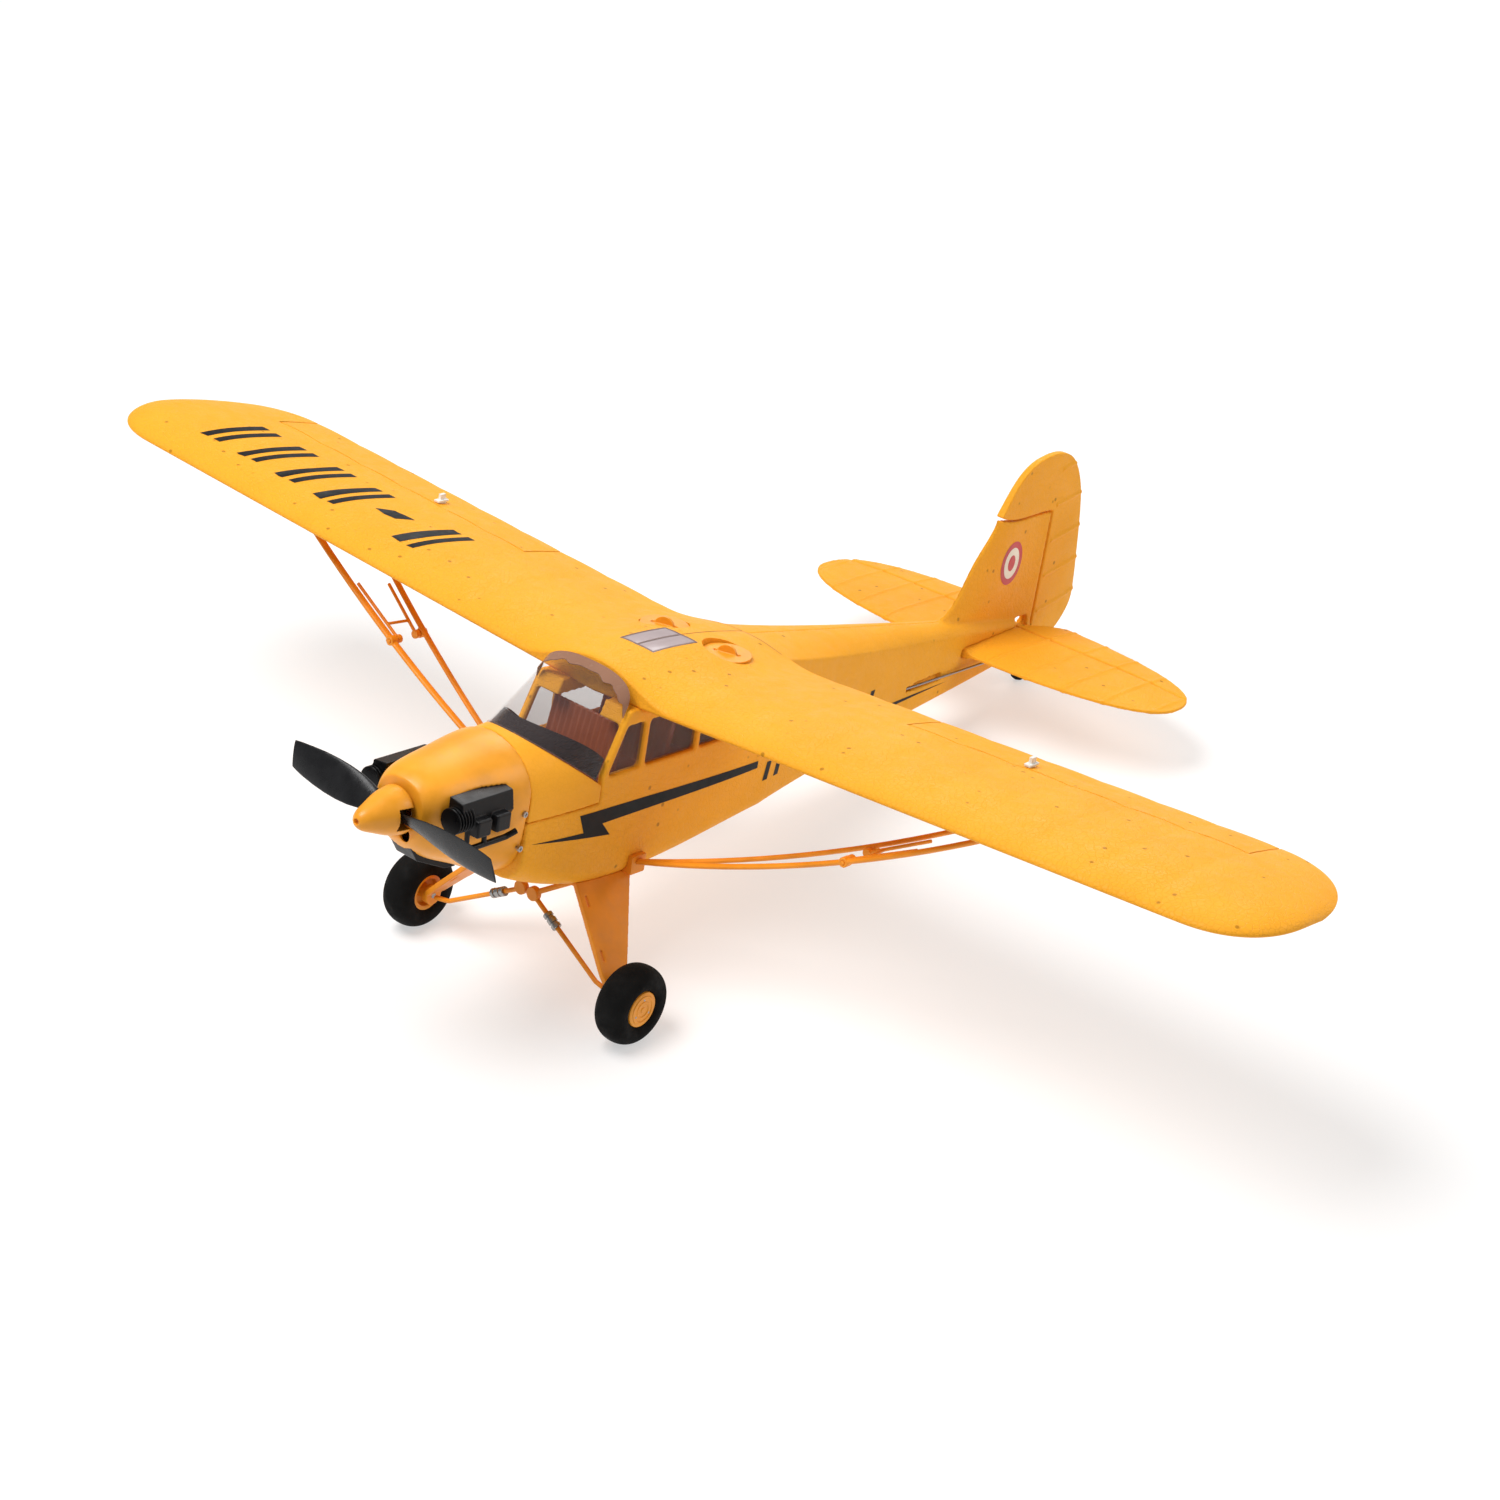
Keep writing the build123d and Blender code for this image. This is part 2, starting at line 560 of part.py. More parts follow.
def seats():
    """Moulded cabin tray: a floor with two seats, each a wedge cushion and a leaning back."""
    tray = box((-22.5, 22.5), (-124, -28), (FLOOR_TOP_Z - 1.2, FLOOR_TOP_Z + 0.2))
    for y in (-107.0, -73.0):
        back = [(y, FLOOR_TOP_Z), (y + 3.0, FLOOR_TOP_Z), (y + 10.0, -14.0), (y + 7.4, -12.6)]
        cushion = [(y - 16, FLOOR_TOP_Z), (y + 1, FLOOR_TOP_Z), (y + 1, -41.0), (y - 16, -39.0)]
        tray += yz_prism(back, -20.0, 20.0)
        tray += yz_prism(cushion, -18.0, 18.0)
    return tray


# ---- nose ----
def ring_section(y, half, top, bottom):
    """Rounded section of the cowl, widest a little above its middle."""
    waist = top + (bottom - top) * 0.42
    points = [(half, y, waist), (half * 0.74, y, waist + (top - waist) * 0.74), (0, y, top),
              (-half * 0.74, y, waist + (top - waist) * 0.74), (-half, y, waist),
              (-half * 0.76, y, waist + (bottom - waist) * 0.76), (0, y, bottom),
              (half * 0.76, y, waist + (bottom - waist) * 0.76)]
    return make_face(Spline(*points, periodic=True))


COWL_STATIONS = ((-208.8, 13.0, -18.0, -44.0), (-204.0, 16.6, -15.4, -50.2), (-192.0, 19.8, -12.8, -57.2),
                 (-176.0, 22.6, -10.8, -64.2), (COWL_Y - 0.3, 24.6, -9.2, -70.4))


def nose_cowl():
    """Hollow nose with the hole for the spinner, the side mounts for the dummy engine and an intake."""
    outer = loft([ring_section(*station) for station in COWL_STATIONS])
    inner = loft([ring_section(y, half - 2.4, top - 2.4, bottom + 2.4)
                  for y, half, top, bottom in COWL_STATIONS])
    cavity = inner & box((-40, 40), (-207.0, -150), (-90, 10))
    shaft_hole = Pos(0, -206, THRUST_Z) * Rot(X=90) * Cylinder(6.5, 12)
    intake = Pos(4.5, -207, -42.0) * Rot(X=62) * Cylinder(2.6, 14)
    return outer - cavity - shaft_hole - intake - engine_left() - mirrored(engine_left()) - chin_scoop()


def engine_left():
    """Dummy cylinder bank: shroud, cooling fins, two rocker covers and the exhaust."""
    shroud_face = make_face(Polyline((18, -199.6, -21.0), (25.4, -199.6, -22.0), (27.0, -199.6, -30.0),
                                     (25.4, -199.6, -33.6), (18, -199.6, -33.6), close=True))
    shroud = extrude(shroud_face, amount=29.0, dir=(0, 1, 0))
    parts = shroud
    for index in range(6):
        parts += Pos(23.0, -202.6 + index * 1.6, -29.4) * Rot(X=90) * Cylinder(5.6, 0.8)
    parts += Pos(23.0, -198.5, -29.4) * Rot(X=90) * Cylinder(4.4, 9.0)
    for y in (-190.5, -179.5):
        cover = Pos(27.6, y, -32.6) * Box(6.4, 8.0, 7.6)
        parts += fillet(cover.edges(), 0.9)
    for y in (-194.5, -184.5):
        parts += rod((25.0, y, -34.0), (25.6, y, -43.0), 1.1)
    pipe = bent_rod([(25.6, -195.6, -43.0), (25.6, -172.0, -43.0), (27.4, -167.6, -40.5)], 1.3, 3.0)
    return parts + pipe


def chin_scoop():
    """Small black intake under the nose."""
    outline = [(-206.0, -47.0), (-201.0, -54.6), (-184.0, -62.4), (-178.0, -63.0), (-178.0, -60.0), (-200.0, -48.0)]
    return yz_prism(outline, -6.0, 6.0)


def motor_mount():
    """Firewall plate with the motor's fixed stator."""
    plate = Pos(0, -181.0, THRUST_Z) * Rot(X=90) * Cylinder(15.0, 2.0)
    stator = Pos(0, -187.0, THRUST_Z) * Rot(X=90) * Cylinder(6.2, 10.2)
    legs = box((-3, 3), (-180.2, COWL_Y + 0.1), (THRUST_Z - 10, THRUST_Z - 6)) + box(
        (-3, 3), (-180.2, COWL_Y + 0.1), (THRUST_Z + 6, THRUST_Z + 10))
    bore = Pos(0, -187.0, THRUST_Z) * Rot(X=90) * Cylinder(1.5 + PIN_CLEARANCE, 20)
    return plate + stator + legs - bore


def motor_rotor():
    """Motor bell with its shaft, which the propeller is pressed on."""
    bell = Pos(0, -188.9, THRUST_Z) * Rot(X=90) * Cylinder(8.6, 12.6)
    bell -= Pos(0, -187.4, THRUST_Z) * Rot(X=90) * Cylinder(7.4, 12.6)
    shaft = rod((0, -181.0, THRUST_Z), (0, -220.0, THRUST_Z), 1.5)
    return bell + shaft


# radius, chord, pitch angle, thickness
BLADE_STATIONS = ((5.0, 7.5, 48, 3.0), (14.0, 11.5, 38, 2.4), (28.0, 15.0, 26, 1.9), (42.0, 15.0, 19, 1.5),
                  (52.0, 12.0, 15, 1.2), (PROP_R, 9.0, 13, 1.0))


def blade_section(radius, chord, pitch_deg, thickness):
    """Section of the propeller blade, square to the blade's own axis X."""
    turned = radians(pitch_deg + 90)
    plane = Plane(origin=(radius, PROP_Y, 0), x_dir=(0, cos(turned), sin(turned)),
                  z_dir=(1, 0, 0))
    return plane * Ellipse(chord / 2, thickness / 2)


def propeller():
    """Two-blade propeller with broad blades whose ends are cut at a slant."""
    blade = loft([blade_section(*station) for station in BLADE_STATIONS])
    hub = Pos(0, PROP_Y, 0) * Rot(X=90) * Cylinder(6.0, 6.0)
    two = blade + Rot(Y=180) * blade + hub
    two -= Pos(0, PROP_Y, 0) * Rot(X=90) * Cylinder(1.5, 20)
    return Pos(0, 0, THRUST_Z) * Rot(Y=PROP_REST_DEG) * two


def spinner():
    """Pointed cap in front of the propeller, with two cut-outs for the blades."""
    length = SPINNER_BACK_Y - SPINNER_TIP_Y
    profile = Spline((0, SPINNER_TIP_Y), (2.2, SPINNER_TIP_Y + 0.7), (6.4, SPINNER_TIP_Y + length * 0.36),
                     (9.2, SPINNER_TIP_Y + length * 0.7), (SPINNER_R, SPINNER_BACK_Y))
    edge = make_face([profile, Line((SPINNER_R, SPINNER_BACK_Y), (0, SPINNER_BACK_Y)),
                      Line((0, SPINNER_BACK_Y), (0, SPINNER_TIP_Y))])
    cone = revolve(edge, axis=Axis.Y)
    cone -= Pos(0, PROP_Y, 0) * Rot(X=90) * Cylinder(6.1, 7.4)
    cone -= Pos(0, PROP_Y, 0) * Box(40, 7.6, 9.4)
    cone -= Pos(0, -218.0, 0) * Rot(X=90) * Cylinder(1.5, 8)
    cone -= Pos(0, -233.0, 0) * Rot(X=90) * Cylinder(1.3, 5)
    back = Pos(0, SPINNER_BACK_Y, 0) * Rot(X=90) * Cylinder(SPINNER_R, 1.2)
    back -= Pos(0, SPINNER_BACK_Y, 0) * Rot(X=90) * Cylinder(6.1, 4)
    back -= Pos(0, PROP_Y, 0) * Box(40, 7.6, 9.4)
    return Pos(0, 0, THRUST_Z) * Rot(Y=PROP_REST_DEG) * (cone + back)


def battery():
    pack = box((-9.0, 9.0), (-150.0, -104.0), (-66.0, -53.0))
    return fillet(pack.edges().filter_by(Axis.Y), 2.0)


def flight_board():
    board = box((-14.0, 14.0), (-96.0, -60.0), (-71.0, -69.4))
    can = box((-7.0, 7.0), (-86.0, -72.0), (-69.4, -67.4))
    plugs = box((-12.0, 12.0), (-64.5, -60.5), (-69.4, -65.4))
    return board + can + plugs


# ---- tail ----
ELEVATOR_ROD_X = 9.4
ROD_Z = TAIL_Z - HORN_ARM
RUDDER_ROD_X = 9.0
RUDDER_ROD_Z = -47.4
TAIL_SERVO_Y = 2.0
RUDDER_SERVO_GAP = 26.0         # from the elevator servo's shaft to the rudder servo's


TAIL_WIDEST_Y = 209.0          # fore-and-aft station of the tailplane's greatest span
TAIL_LEAD_Y = 171.0
TAIL_TRAIL_Y = 249.0


def tail_edge(root_y, power):
    """Superelliptic edge of the tailplane in plan, from the centre line to the widest point."""
    points = []
    for step in range(13):
        angle = pi / 2 * step / 12
        across = TAIL_HALF * sin(angle) ** (2 / power)
        along = (root_y - TAIL_WIDEST_Y) * max(0.0, cos(angle)) ** (2 / power) if step < 12 else 0.0
        points.append((across, TAIL_WIDEST_Y + along, TAIL_Z))
    return Spline(*points)


def tail_blank():
    """Flat foam tailplane and elevator in one, rounded at both ends."""
    lead = tail_edge(TAIL_LEAD_Y, 2.25)
    trail = tail_edge(TAIL_TRAIL_Y, 2.6)
    plan = make_face([lead, trail, Line((0, TAIL_TRAIL_Y, TAIL_Z), (0, TAIL_LEAD_Y, TAIL_Z))])
    half = extrude(plan, amount=TAIL_THICK / 2, both=True)
    return half + mirrored(half)


def tail_zone(front, gap):
    """The space ahead of or behind the elevator's hinge line."""
    if front:
        return box((-130, 130), (150, ELEVATOR_HINGE_Y - gap), (-60, -20))
    return bevel_prism(ELEVATOR_HINGE_Y, TAIL_Z, gap, -130, 130)


def rudder_notch():
    """V in the elevator that leaves room for the rudder."""
    outline = Polyline((-3.6, 229.8, TAIL_Z - 10), (3.6, 229.8, TAIL_Z - 10), (27.0, 262, TAIL_Z - 10),
                       (-27.0, 262, TAIL_Z - 10), close=True)
    return extrude(make_face(outline), amount=20, dir=(0, 0, 1))


def tailplane():
    return tail_blank() & tail_zone(True, 0.4)


def horn_relief():
    """Hollow in the elevator's underside that clears the rudder horn when the elevator is down."""
    return box((-13.0, -3.0), (228.5, 243.0), (TAIL_Z - 6.0, TAIL_Z + 0.5))


def elevator():
    return (tail_blank() & tail_zone(False, 0.4)) - rudder_notch() - horn_relief()


def elevator_horn():
    """Horn under the elevator's left half."""
    x = ELEVATOR_ROD_X - 1.7
    z = TAIL_Z
    y = ELEVATOR_HINGE_Y
    outline = [(y - 1.8, z - HORN_ARM - 1.8), (y + 1.8, z - HORN_ARM - 1.8), (y + 8.6, z - TAIL_THICK / 2 - 1.0),
               (y + 8.6, z - TAIL_THICK / 2), (y + 3.4, z - TAIL_THICK / 2), (y - 1.8, z - HORN_ARM + 1.8)]
    blade = yz_prism(outline, x - 0.6, x + 0.6)
    plate = box((x - 2.6, x + 2.6), (y + 3.4, y + 8.6), (z - TAIL_THICK / 2 - 1.0, z - TAIL_THICK / 2))
    hole = rod((x - 3, y, z - HORN_ARM), (x + 3, y, z - HORN_ARM), ROD_R + PIN_CLEARANCE)
    return blade + plate - hole


def rudder():
    """Rudder with the horn balance that reaches forward over the fin."""
    outer = Spline((0, 192.3, 24.7), (0, 198.3, 34.3), (0, 205.0, 42.6), (0, 214.0, 48.6), (0, 226.0, 51.6),
                   (0, 238.1, 51.6), (0, 247.5, 48.0), (0, 254.8, 40.6), (0, 260.4, 30.0), (0, 264.8, 14.0),
                   (0, 269.0, -6.0), (0, 272.6, -24.0), (0, 272.8, -33.0), (0, 267.7, -41.0), (0, 257.0, -49.0),
                   (0, 246.0, -52.6), (0, FIN_HINGE_Y + 0.3, -53.4))
    front = Line((0, FIN_HINGE_Y + 0.3, -53.4), (0, FIN_HINGE_Y + 0.3, 21.6))
    crown = Spline((0, FIN_HINGE_Y + 0.3, 21.6), (0, 212, 21.5), (0, 200.0, 22.4), (0, 192.3, 24.7))
    plate = extrude(make_face([outer, front, crown]), amount=2.4, dir=(1, 0, 0), both=True)
    slope = sin(radians(BEVEL_DEG)) / cos(radians(BEVEL_DEG))
    for side in (1, -1):
        wedge = Polyline((0, FIN_HINGE_Y + 0.3, -60), (side * 6, FIN_HINGE_Y + 0.3, -60),
                         (side * 6, FIN_HINGE_Y + 0.3 + 6 * slope, -60), close=True)
        plate -= extrude(make_face(wedge), amount=81.4, dir=(0, 0, 1))
    return plate


def rudder_horn():
    """Horn on the rudder's right side."""
    z = RUDDER_ROD_Z
    y = FIN_HINGE_Y
    low, outer, inner = z - 0.6, -RUDDER_ROD_X - 1.8, -RUDDER_ROD_X + 1.8
    outline = Polyline((-2.4, y + 9.0, low), (-2.4, y + 3.4, low), (inner, y - 1.8, low), (outer, y - 1.8, low),
                       (outer, y + 1.8, low), close=True)
    blade = extrude(make_face(outline), amount=1.2, dir=(0, 0, 1))
    plate = box((-3.4, -2.4), (y + 3.4, y + 9.0), (z - 2.4, z + 2.4))
    hole = rod((-RUDDER_ROD_X, y, z - 3), (-RUDDER_ROD_X, y, z + 3), ROD_R + PIN_CLEARANCE)
    return blade + plate - hole


def tail_wheel_fork():
    """Sprung wire fork under the rudder that carries the tail wheel."""
    foot = Pos(0, TAIL_WHEEL_Y + 4.0, -55.4) * Box(4.0, 10.0, 2.0)
    foot += Pos(0, TAIL_WHEEL_Y + 4.0, -52.0) * Box(1.6, 8.0, 6.0)
    for side in (1, -1):
        foot += box(sorted((side * 2.9, side * 4.1)), (TAIL_WHEEL_Y - 1.8, TAIL_WHEEL_Y + 1.8),
                    (TAIL_WHEEL_Z - 1.8, -55.4))
    foot += box((-4.1, 4.1), (TAIL_WHEEL_Y - 1.8, TAIL_WHEEL_Y + 1.8), (-57.0, -55.0))
    axle = rod((-4.8, TAIL_WHEEL_Y, TAIL_WHEEL_Z), (4.8, TAIL_WHEEL_Y, TAIL_WHEEL_Z), 0.8)
    return foot + axle


def tail_wheel():
    wheel = Pos(0, TAIL_WHEEL_Y, TAIL_WHEEL_Z) * Rot(Y=90) * Cylinder(TAIL_WHEEL_R, 5.0)
    wheel = fillet(wheel.edges(), 1.4)
    return wheel - rod((-5, TAIL_WHEEL_Y, TAIL_WHEEL_Z), (5, TAIL_WHEEL_Y, TAIL_WHEEL_Z), 0.8 + PIN_CLEARANCE)


def tail_servos():
    """Elevator servo on its side and rudder servo upright, both under the cabin floor."""
    y = TAIL_SERVO_Y
    side_x = ELEVATOR_ROD_X - 4.0
    case = box((-7.0, side_x), (y - 14.0, y + 6.0), (TAIL_Z - 4.0, TAIL_Z + 4.4))
    boss = rod((side_x - 0.2, y, TAIL_Z), (side_x + 0.8, y, TAIL_Z), 2.4)
    bore = rod((2.0, y, TAIL_Z), (14.0, y, TAIL_Z), 1.2 + PIN_CLEARANCE)
    shaft_y = y + RUDDER_SERVO_GAP
    top = RUDDER_ROD_Z - 2.0
    upright = box((-4.4, 4.4), (shaft_y - 6.0, shaft_y + 14.0), (top - 13.0, top))
    upright_boss = rod((0, shaft_y, top - 0.2), (0, shaft_y, top + 0.8), 2.4)
    upright_bore = rod((0, shaft_y, top - 6.0), (0, shaft_y, top + 6.0), 1.2 + PIN_CLEARANCE)
    return [case + boss - bore, upright + upright_boss - upright_bore]


def elevator_linkage():
    shaft = (ELEVATOR_ROD_X - 1.7, TAIL_SERVO_Y, TAIL_Z)
    pin = (ELEVATOR_ROD_X - 1.7, TAIL_SERVO_Y, ROD_Z)
    horn_pin = (ELEVATOR_ROD_X - 1.7, ELEVATOR_HINGE_Y, ROD_Z)
    return servo_arm(shaft, pin, (-1, 0, 0)), push_rod(pin, horn_pin, (1, 0, 0), 1.7)


def rudder_linkage():
    shaft_y = TAIL_SERVO_Y + RUDDER_SERVO_GAP
    shaft = (0, shaft_y, RUDDER_ROD_Z)
    pin = (-RUDDER_ROD_X, shaft_y, RUDDER_ROD_Z)
    horn_pin = (-RUDDER_ROD_X, FIN_HINGE_Y, RUDDER_ROD_Z)
    return servo_arm(shaft, pin, (0, 0, -1)), push_rod(pin, horn_pin, (0, 0, -1), 1.7)


# ---- undercarriage ----
LEG_THICK = 2.4
LEG_RUN = (0.664, -0.747)      # outward and downward parts of the leg's slope


def gear_leg_left():
    """Flat tapered leg from the fuselage to the wheel, with lightening slots along its front edge."""
    outward, down = LEG_RUN
    plane = Plane(origin=(19.0, -119.0, -76.4), x_dir=(0, 1, 0), z_dir=(down, 0, -outward))
    outline = Polyline((0, 0), (37.0, 0), (8.5, 45.0), (3.6, 54.0), (-7.6, 54.0), (-7.6, 45.0), close=True)
    leg = extrude(plane * make_face(outline), amount=LEG_THICK / 2, both=True)
    for along, lower in ((1.2, 14.0), (-3.0, 38.0)):
        leg -= plane * Pos(along, lower) * Rot(Z=8) * Box(1.2, 5.0, 6.0)
    hole = plane * Pos(3.4, 3.4) * Cylinder(1.5, 8)
    boss = Pos(55.6, WHEEL_Y, WHEEL_Z) * Rot(Y=90) * Cylinder(4.4, 3.6)
    leg = leg - hole + boss
    leg = leg - rod((40, WHEEL_Y, WHEEL_Z), (80, WHEEL_Y, WHEEL_Z), 1.25)
    return leg - body_belly()


def body_belly():
    """The space inside the fuselage's outer skin near the undercarriage."""
    return body_loft(CABIN_STATIONS) + body_loft(HOOD_STATIONS)


def axles():
    """Steel stub axles, one a side."""
    left = rod((53.9, WHEEL_Y, WHEEL_Z), (WHEEL_X + 6.2, WHEEL_Y, WHEEL_Z), 1.25)
    return group([left, mirrored(left)])


SHOCK_DISC = (3.6, -123.0, -92.0)


def shock_strut_left():
    """Wire from the axle up to the middle pivot disc and on to the top of the leg."""
    x, y, z = SHOCK_DISC
    disc = Pos(x, y, z) * Rot(X=90) * Cylinder(3.2, 3.0)
    lower = bent_rod([(x + 1.0, y, z - 1.2), (44.0, y, z - 24.4), (52.0, y, z - 26.0)], 1.1, 4.0)
    upper = rod((x + 0.5, y, z + 0.6), (20.0, y + 5.4, -80.8), 1.25)
    ring = Pos(20.6, -117.0, -80.3) * Rot(X=90) * Cylinder(2.6, 2.0)
    return (disc + lower + upper + ring) - gear_leg_left() - body_belly()


def shock_sleeves():
    """Bright metal sleeves on the shock struts."""
    x, y, z = SHOCK_DISC
    start = Vector(x + 1.0, y, z - 1.2)
    direction = (Vector(44.0, y, z - 24.4) - start).normalized()
    low, high = start + direction * 9.0, start + direction * 17.0
    left = rod(tuple(low), tuple(high), 2.2) - rod(tuple(start), tuple(start + direction * 30), 1.1)
    return group([left, mirrored(left)])


def wheel_hub_left():
    """Plastic hub with a raised rim ring and a flat cap."""
    centre = Pos(WHEEL_X, WHEEL_Y, WHEEL_Z) * Rot(Y=90)
    hub = centre * Cylinder(HUB_R, 11.0)
    cap = Pos(WHEEL_X + 6.2, WHEEL_Y, WHEEL_Z) * Rot(Y=90) * Cylinder(8.1, 1.6)
    ring = Pos(WHEEL_X + 7.0, WHEEL_Y, WHEEL_Z) * Rot(Y=90) * (Cylinder(6.4, 0.8) - Cylinder(5.4, 2.0))
    inner = Pos(WHEEL_X - 5.6, WHEEL_Y, WHEEL_Z) * Rot(Y=90) * (Cylinder(8.4, 1.0) - Cylinder(5.0, 3.0))
    hollow = Pos(WHEEL_X - 5.0, WHEEL_Y, WHEEL_Z) * Rot(Y=90) * (Cylinder(6.4, 5.0) - Cylinder(3.4, 6.0))
    bore = rod((40, WHEEL_Y, WHEEL_Z), (WHEEL_X + 6.4, WHEEL_Y, WHEEL_Z), 1.25 + PIN_CLEARANCE)
    return hub + cap + ring + inner - hollow - bore


def tyre_left():
    """Balloon tyre: a fat round section about the hub."""
    wall = [(HUB_R, 4.6), (WHEEL_R - 6.4, WHEEL_HALF), (WHEEL_R - 2.4, WHEEL_HALF * 0.82)]
    outline = Spline(*([(r, -y) for r, y in wall] + [(WHEEL_R, 0)] + [(r, y) for r, y in reversed(wall)]))
    tyre = revolve(make_face([outline, Line((HUB_R, 4.6), (HUB_R, -4.6))]), axis=Axis.Y)
    return Pos(WHEEL_X, WHEEL_Y, WHEEL_Z) * Rot(Z=90) * tyre - wheel_hub_left()


# ---- wing struts ----
def strut_point(tip, t):
    """A point of a strut, t from the fuselage (0) to the wing (1), with the strut's slight sag."""
    x0, y0, z0 = STRUT_ROOT
    sag = 4 * STRUT_SAG * t * (1 - t)
    return (x0 + (tip[0] - x0) * t, y0 + (tip[1] - y0) * t, z0 + (tip[2] - z0) * t - sag)


def strut_bar(tip, width, thick, t_low=0.02):
    """One sagging strut with an oval section, its long axis along the airflow."""
    path = ThreePointArc(strut_point(tip, t_low), strut_point(tip, 0.5), strut_point(tip, 1.0))
    section = Plane(origin=path @ 0, x_dir=(0, 1, 0), z_dir=path % 0) * Ellipse(width / 2, thick / 2)
    return sweep(section, path=path)


JURY_T = 0.62
JURY_FRONT_ARM = 34.0
JURY_REAR_ARM = 30.0
JURY_BAR = 0.27                 # place of the cross bar along the arms
JURY_PIN_R = 0.9
JURY_SIDE = 3.7                 # from the middle of a strut's lug to the arm beside it


def jury_axis():
    """Front and rear ends of the straight pin line across the two struts."""
    x, front_y, z = strut_point(FRONT_STRUT_TIP, JURY_T)
    rear_y = strut_point(REAR_STRUT_TIP, (x - STRUT_ROOT[0]) / (REAR_STRUT_TIP[0] - STRUT_ROOT[0]))[1]
    return Vector(x, front_y, z), Vector(x, rear_y, z)


def wing_struts_left():
    """Front and rear struts in one moulding, with lugs for the jury frame's pins."""
    bars = strut_bar(FRONT_STRUT_TIP, 3.8, 2.4) + strut_bar(REAR_STRUT_TIP, 3.2, 2.2)
    front, rear = jury_axis()
    for centre in (front, rear):
        bars += Pos(*centre) * Rot(X=90) * Cylinder(2.2, 4.0)
    bore = rod((front.X, front.Y - 8, front.Z), (front.X, rear.Y + 8, front.Z), JURY_PIN_R + PIN_CLEARANCE)
    for x, y, z in (FRONT_STRUT_TIP, REAR_STRUT_TIP):
        bars += Pos(x + 1.0, y, z - 0.6) * Box(7.0, 5.0, 1.4)
    return bars - bore - wing_blank()


def strut_run(tip, t):
    """Direction of a strut at t, towards the wing."""
    return (Vector(*strut_point(tip, t + 0.05)) - Vector(*strut_point(tip, t - 0.05))).normalized()


def jury_frame_left():
    """H-shaped frame that swings up from the struts to the wing: two pegs, two spread arms and a bar."""
    front, rear = jury_axis()
    inner = Vector(front.X, front.Y + JURY_SIDE, front.Z)
    outer = Vector(front.X, rear.Y - JURY_SIDE, front.Z)
    front_arm = strut_run(FRONT_STRUT_TIP, JURY_T + 0.1) * JURY_FRONT_ARM
    rear_arm = strut_run(REAR_STRUT_TIP, JURY_T + 0.1) * JURY_REAR_ARM
    frame = rod(tuple(inner + front_arm * JURY_BAR), tuple(outer + rear_arm * JURY_BAR), 0.7)
    for start, peg_y, arm in ((inner, -6.0, front_arm), (outer, 6.0, rear_arm)):
        frame += Pos(*start) * Rot(X=90) * Cylinder(2.0, 2.4)
        frame += rod(tuple(start), (start.X, start.Y + peg_y, start.Z), JURY_PIN_R)
        frame += rod(tuple(start), tuple(start + arm), 0.8)
    return frame


def strut_fittings():
    """Plastic brackets on the lower edge of the fuselage that hold the struts."""
    block = box((21.5, 29.5), (-92.0, -83.0), (-81.0, -72.5))
    block = block - body_belly() - gear_leg_left() - wing_struts_left()
    pieces = sorted(block.solids(), key=lambda solid: solid.volume)[-1]
    return group([pieces, mirrored(pieces)])


def screw(centre, direction, radius=1.5, length=4.0):
    """Small cross-head screw, its head's top at centre."""
    plane = Plane(origin=centre, z_dir=direction)
    head = plane * Pos(0, 0, -0.5) * Cylinder(radius, 1.0)
    shank = plane * Pos(0, 0, -length / 2 - 0.5) * Cylinder(radius * 0.5, length)
    cross = plane * (Box(radius * 1.3, 0.4, 0.7) + Box(0.4, radius * 1.3, 0.7))
    return head + shank - cross


COWL_SCREWS = ((25.6, -161.0, -36.0), (24.9, -160.6, -52.0))


def screws():
    left = [screw(centre, (1, 0, 0), 1.3, 3.0) for centre in COWL_SCREWS]
    return group(left + [mirrored(one) for one in left])


# ---- assembly ----
def stance_angle():
    """Nose-up angle at which the main wheels and the tail wheel touch the same floor, degrees."""
    run = TAIL_WHEEL_Y - WHEEL_Y
    rise = TAIL_WHEEL_Z - WHEEL_Z
    return degrees(asin((WHEEL_R - TAIL_WHEEL_R) / hypot(run, rise)) + atan(rise / run))


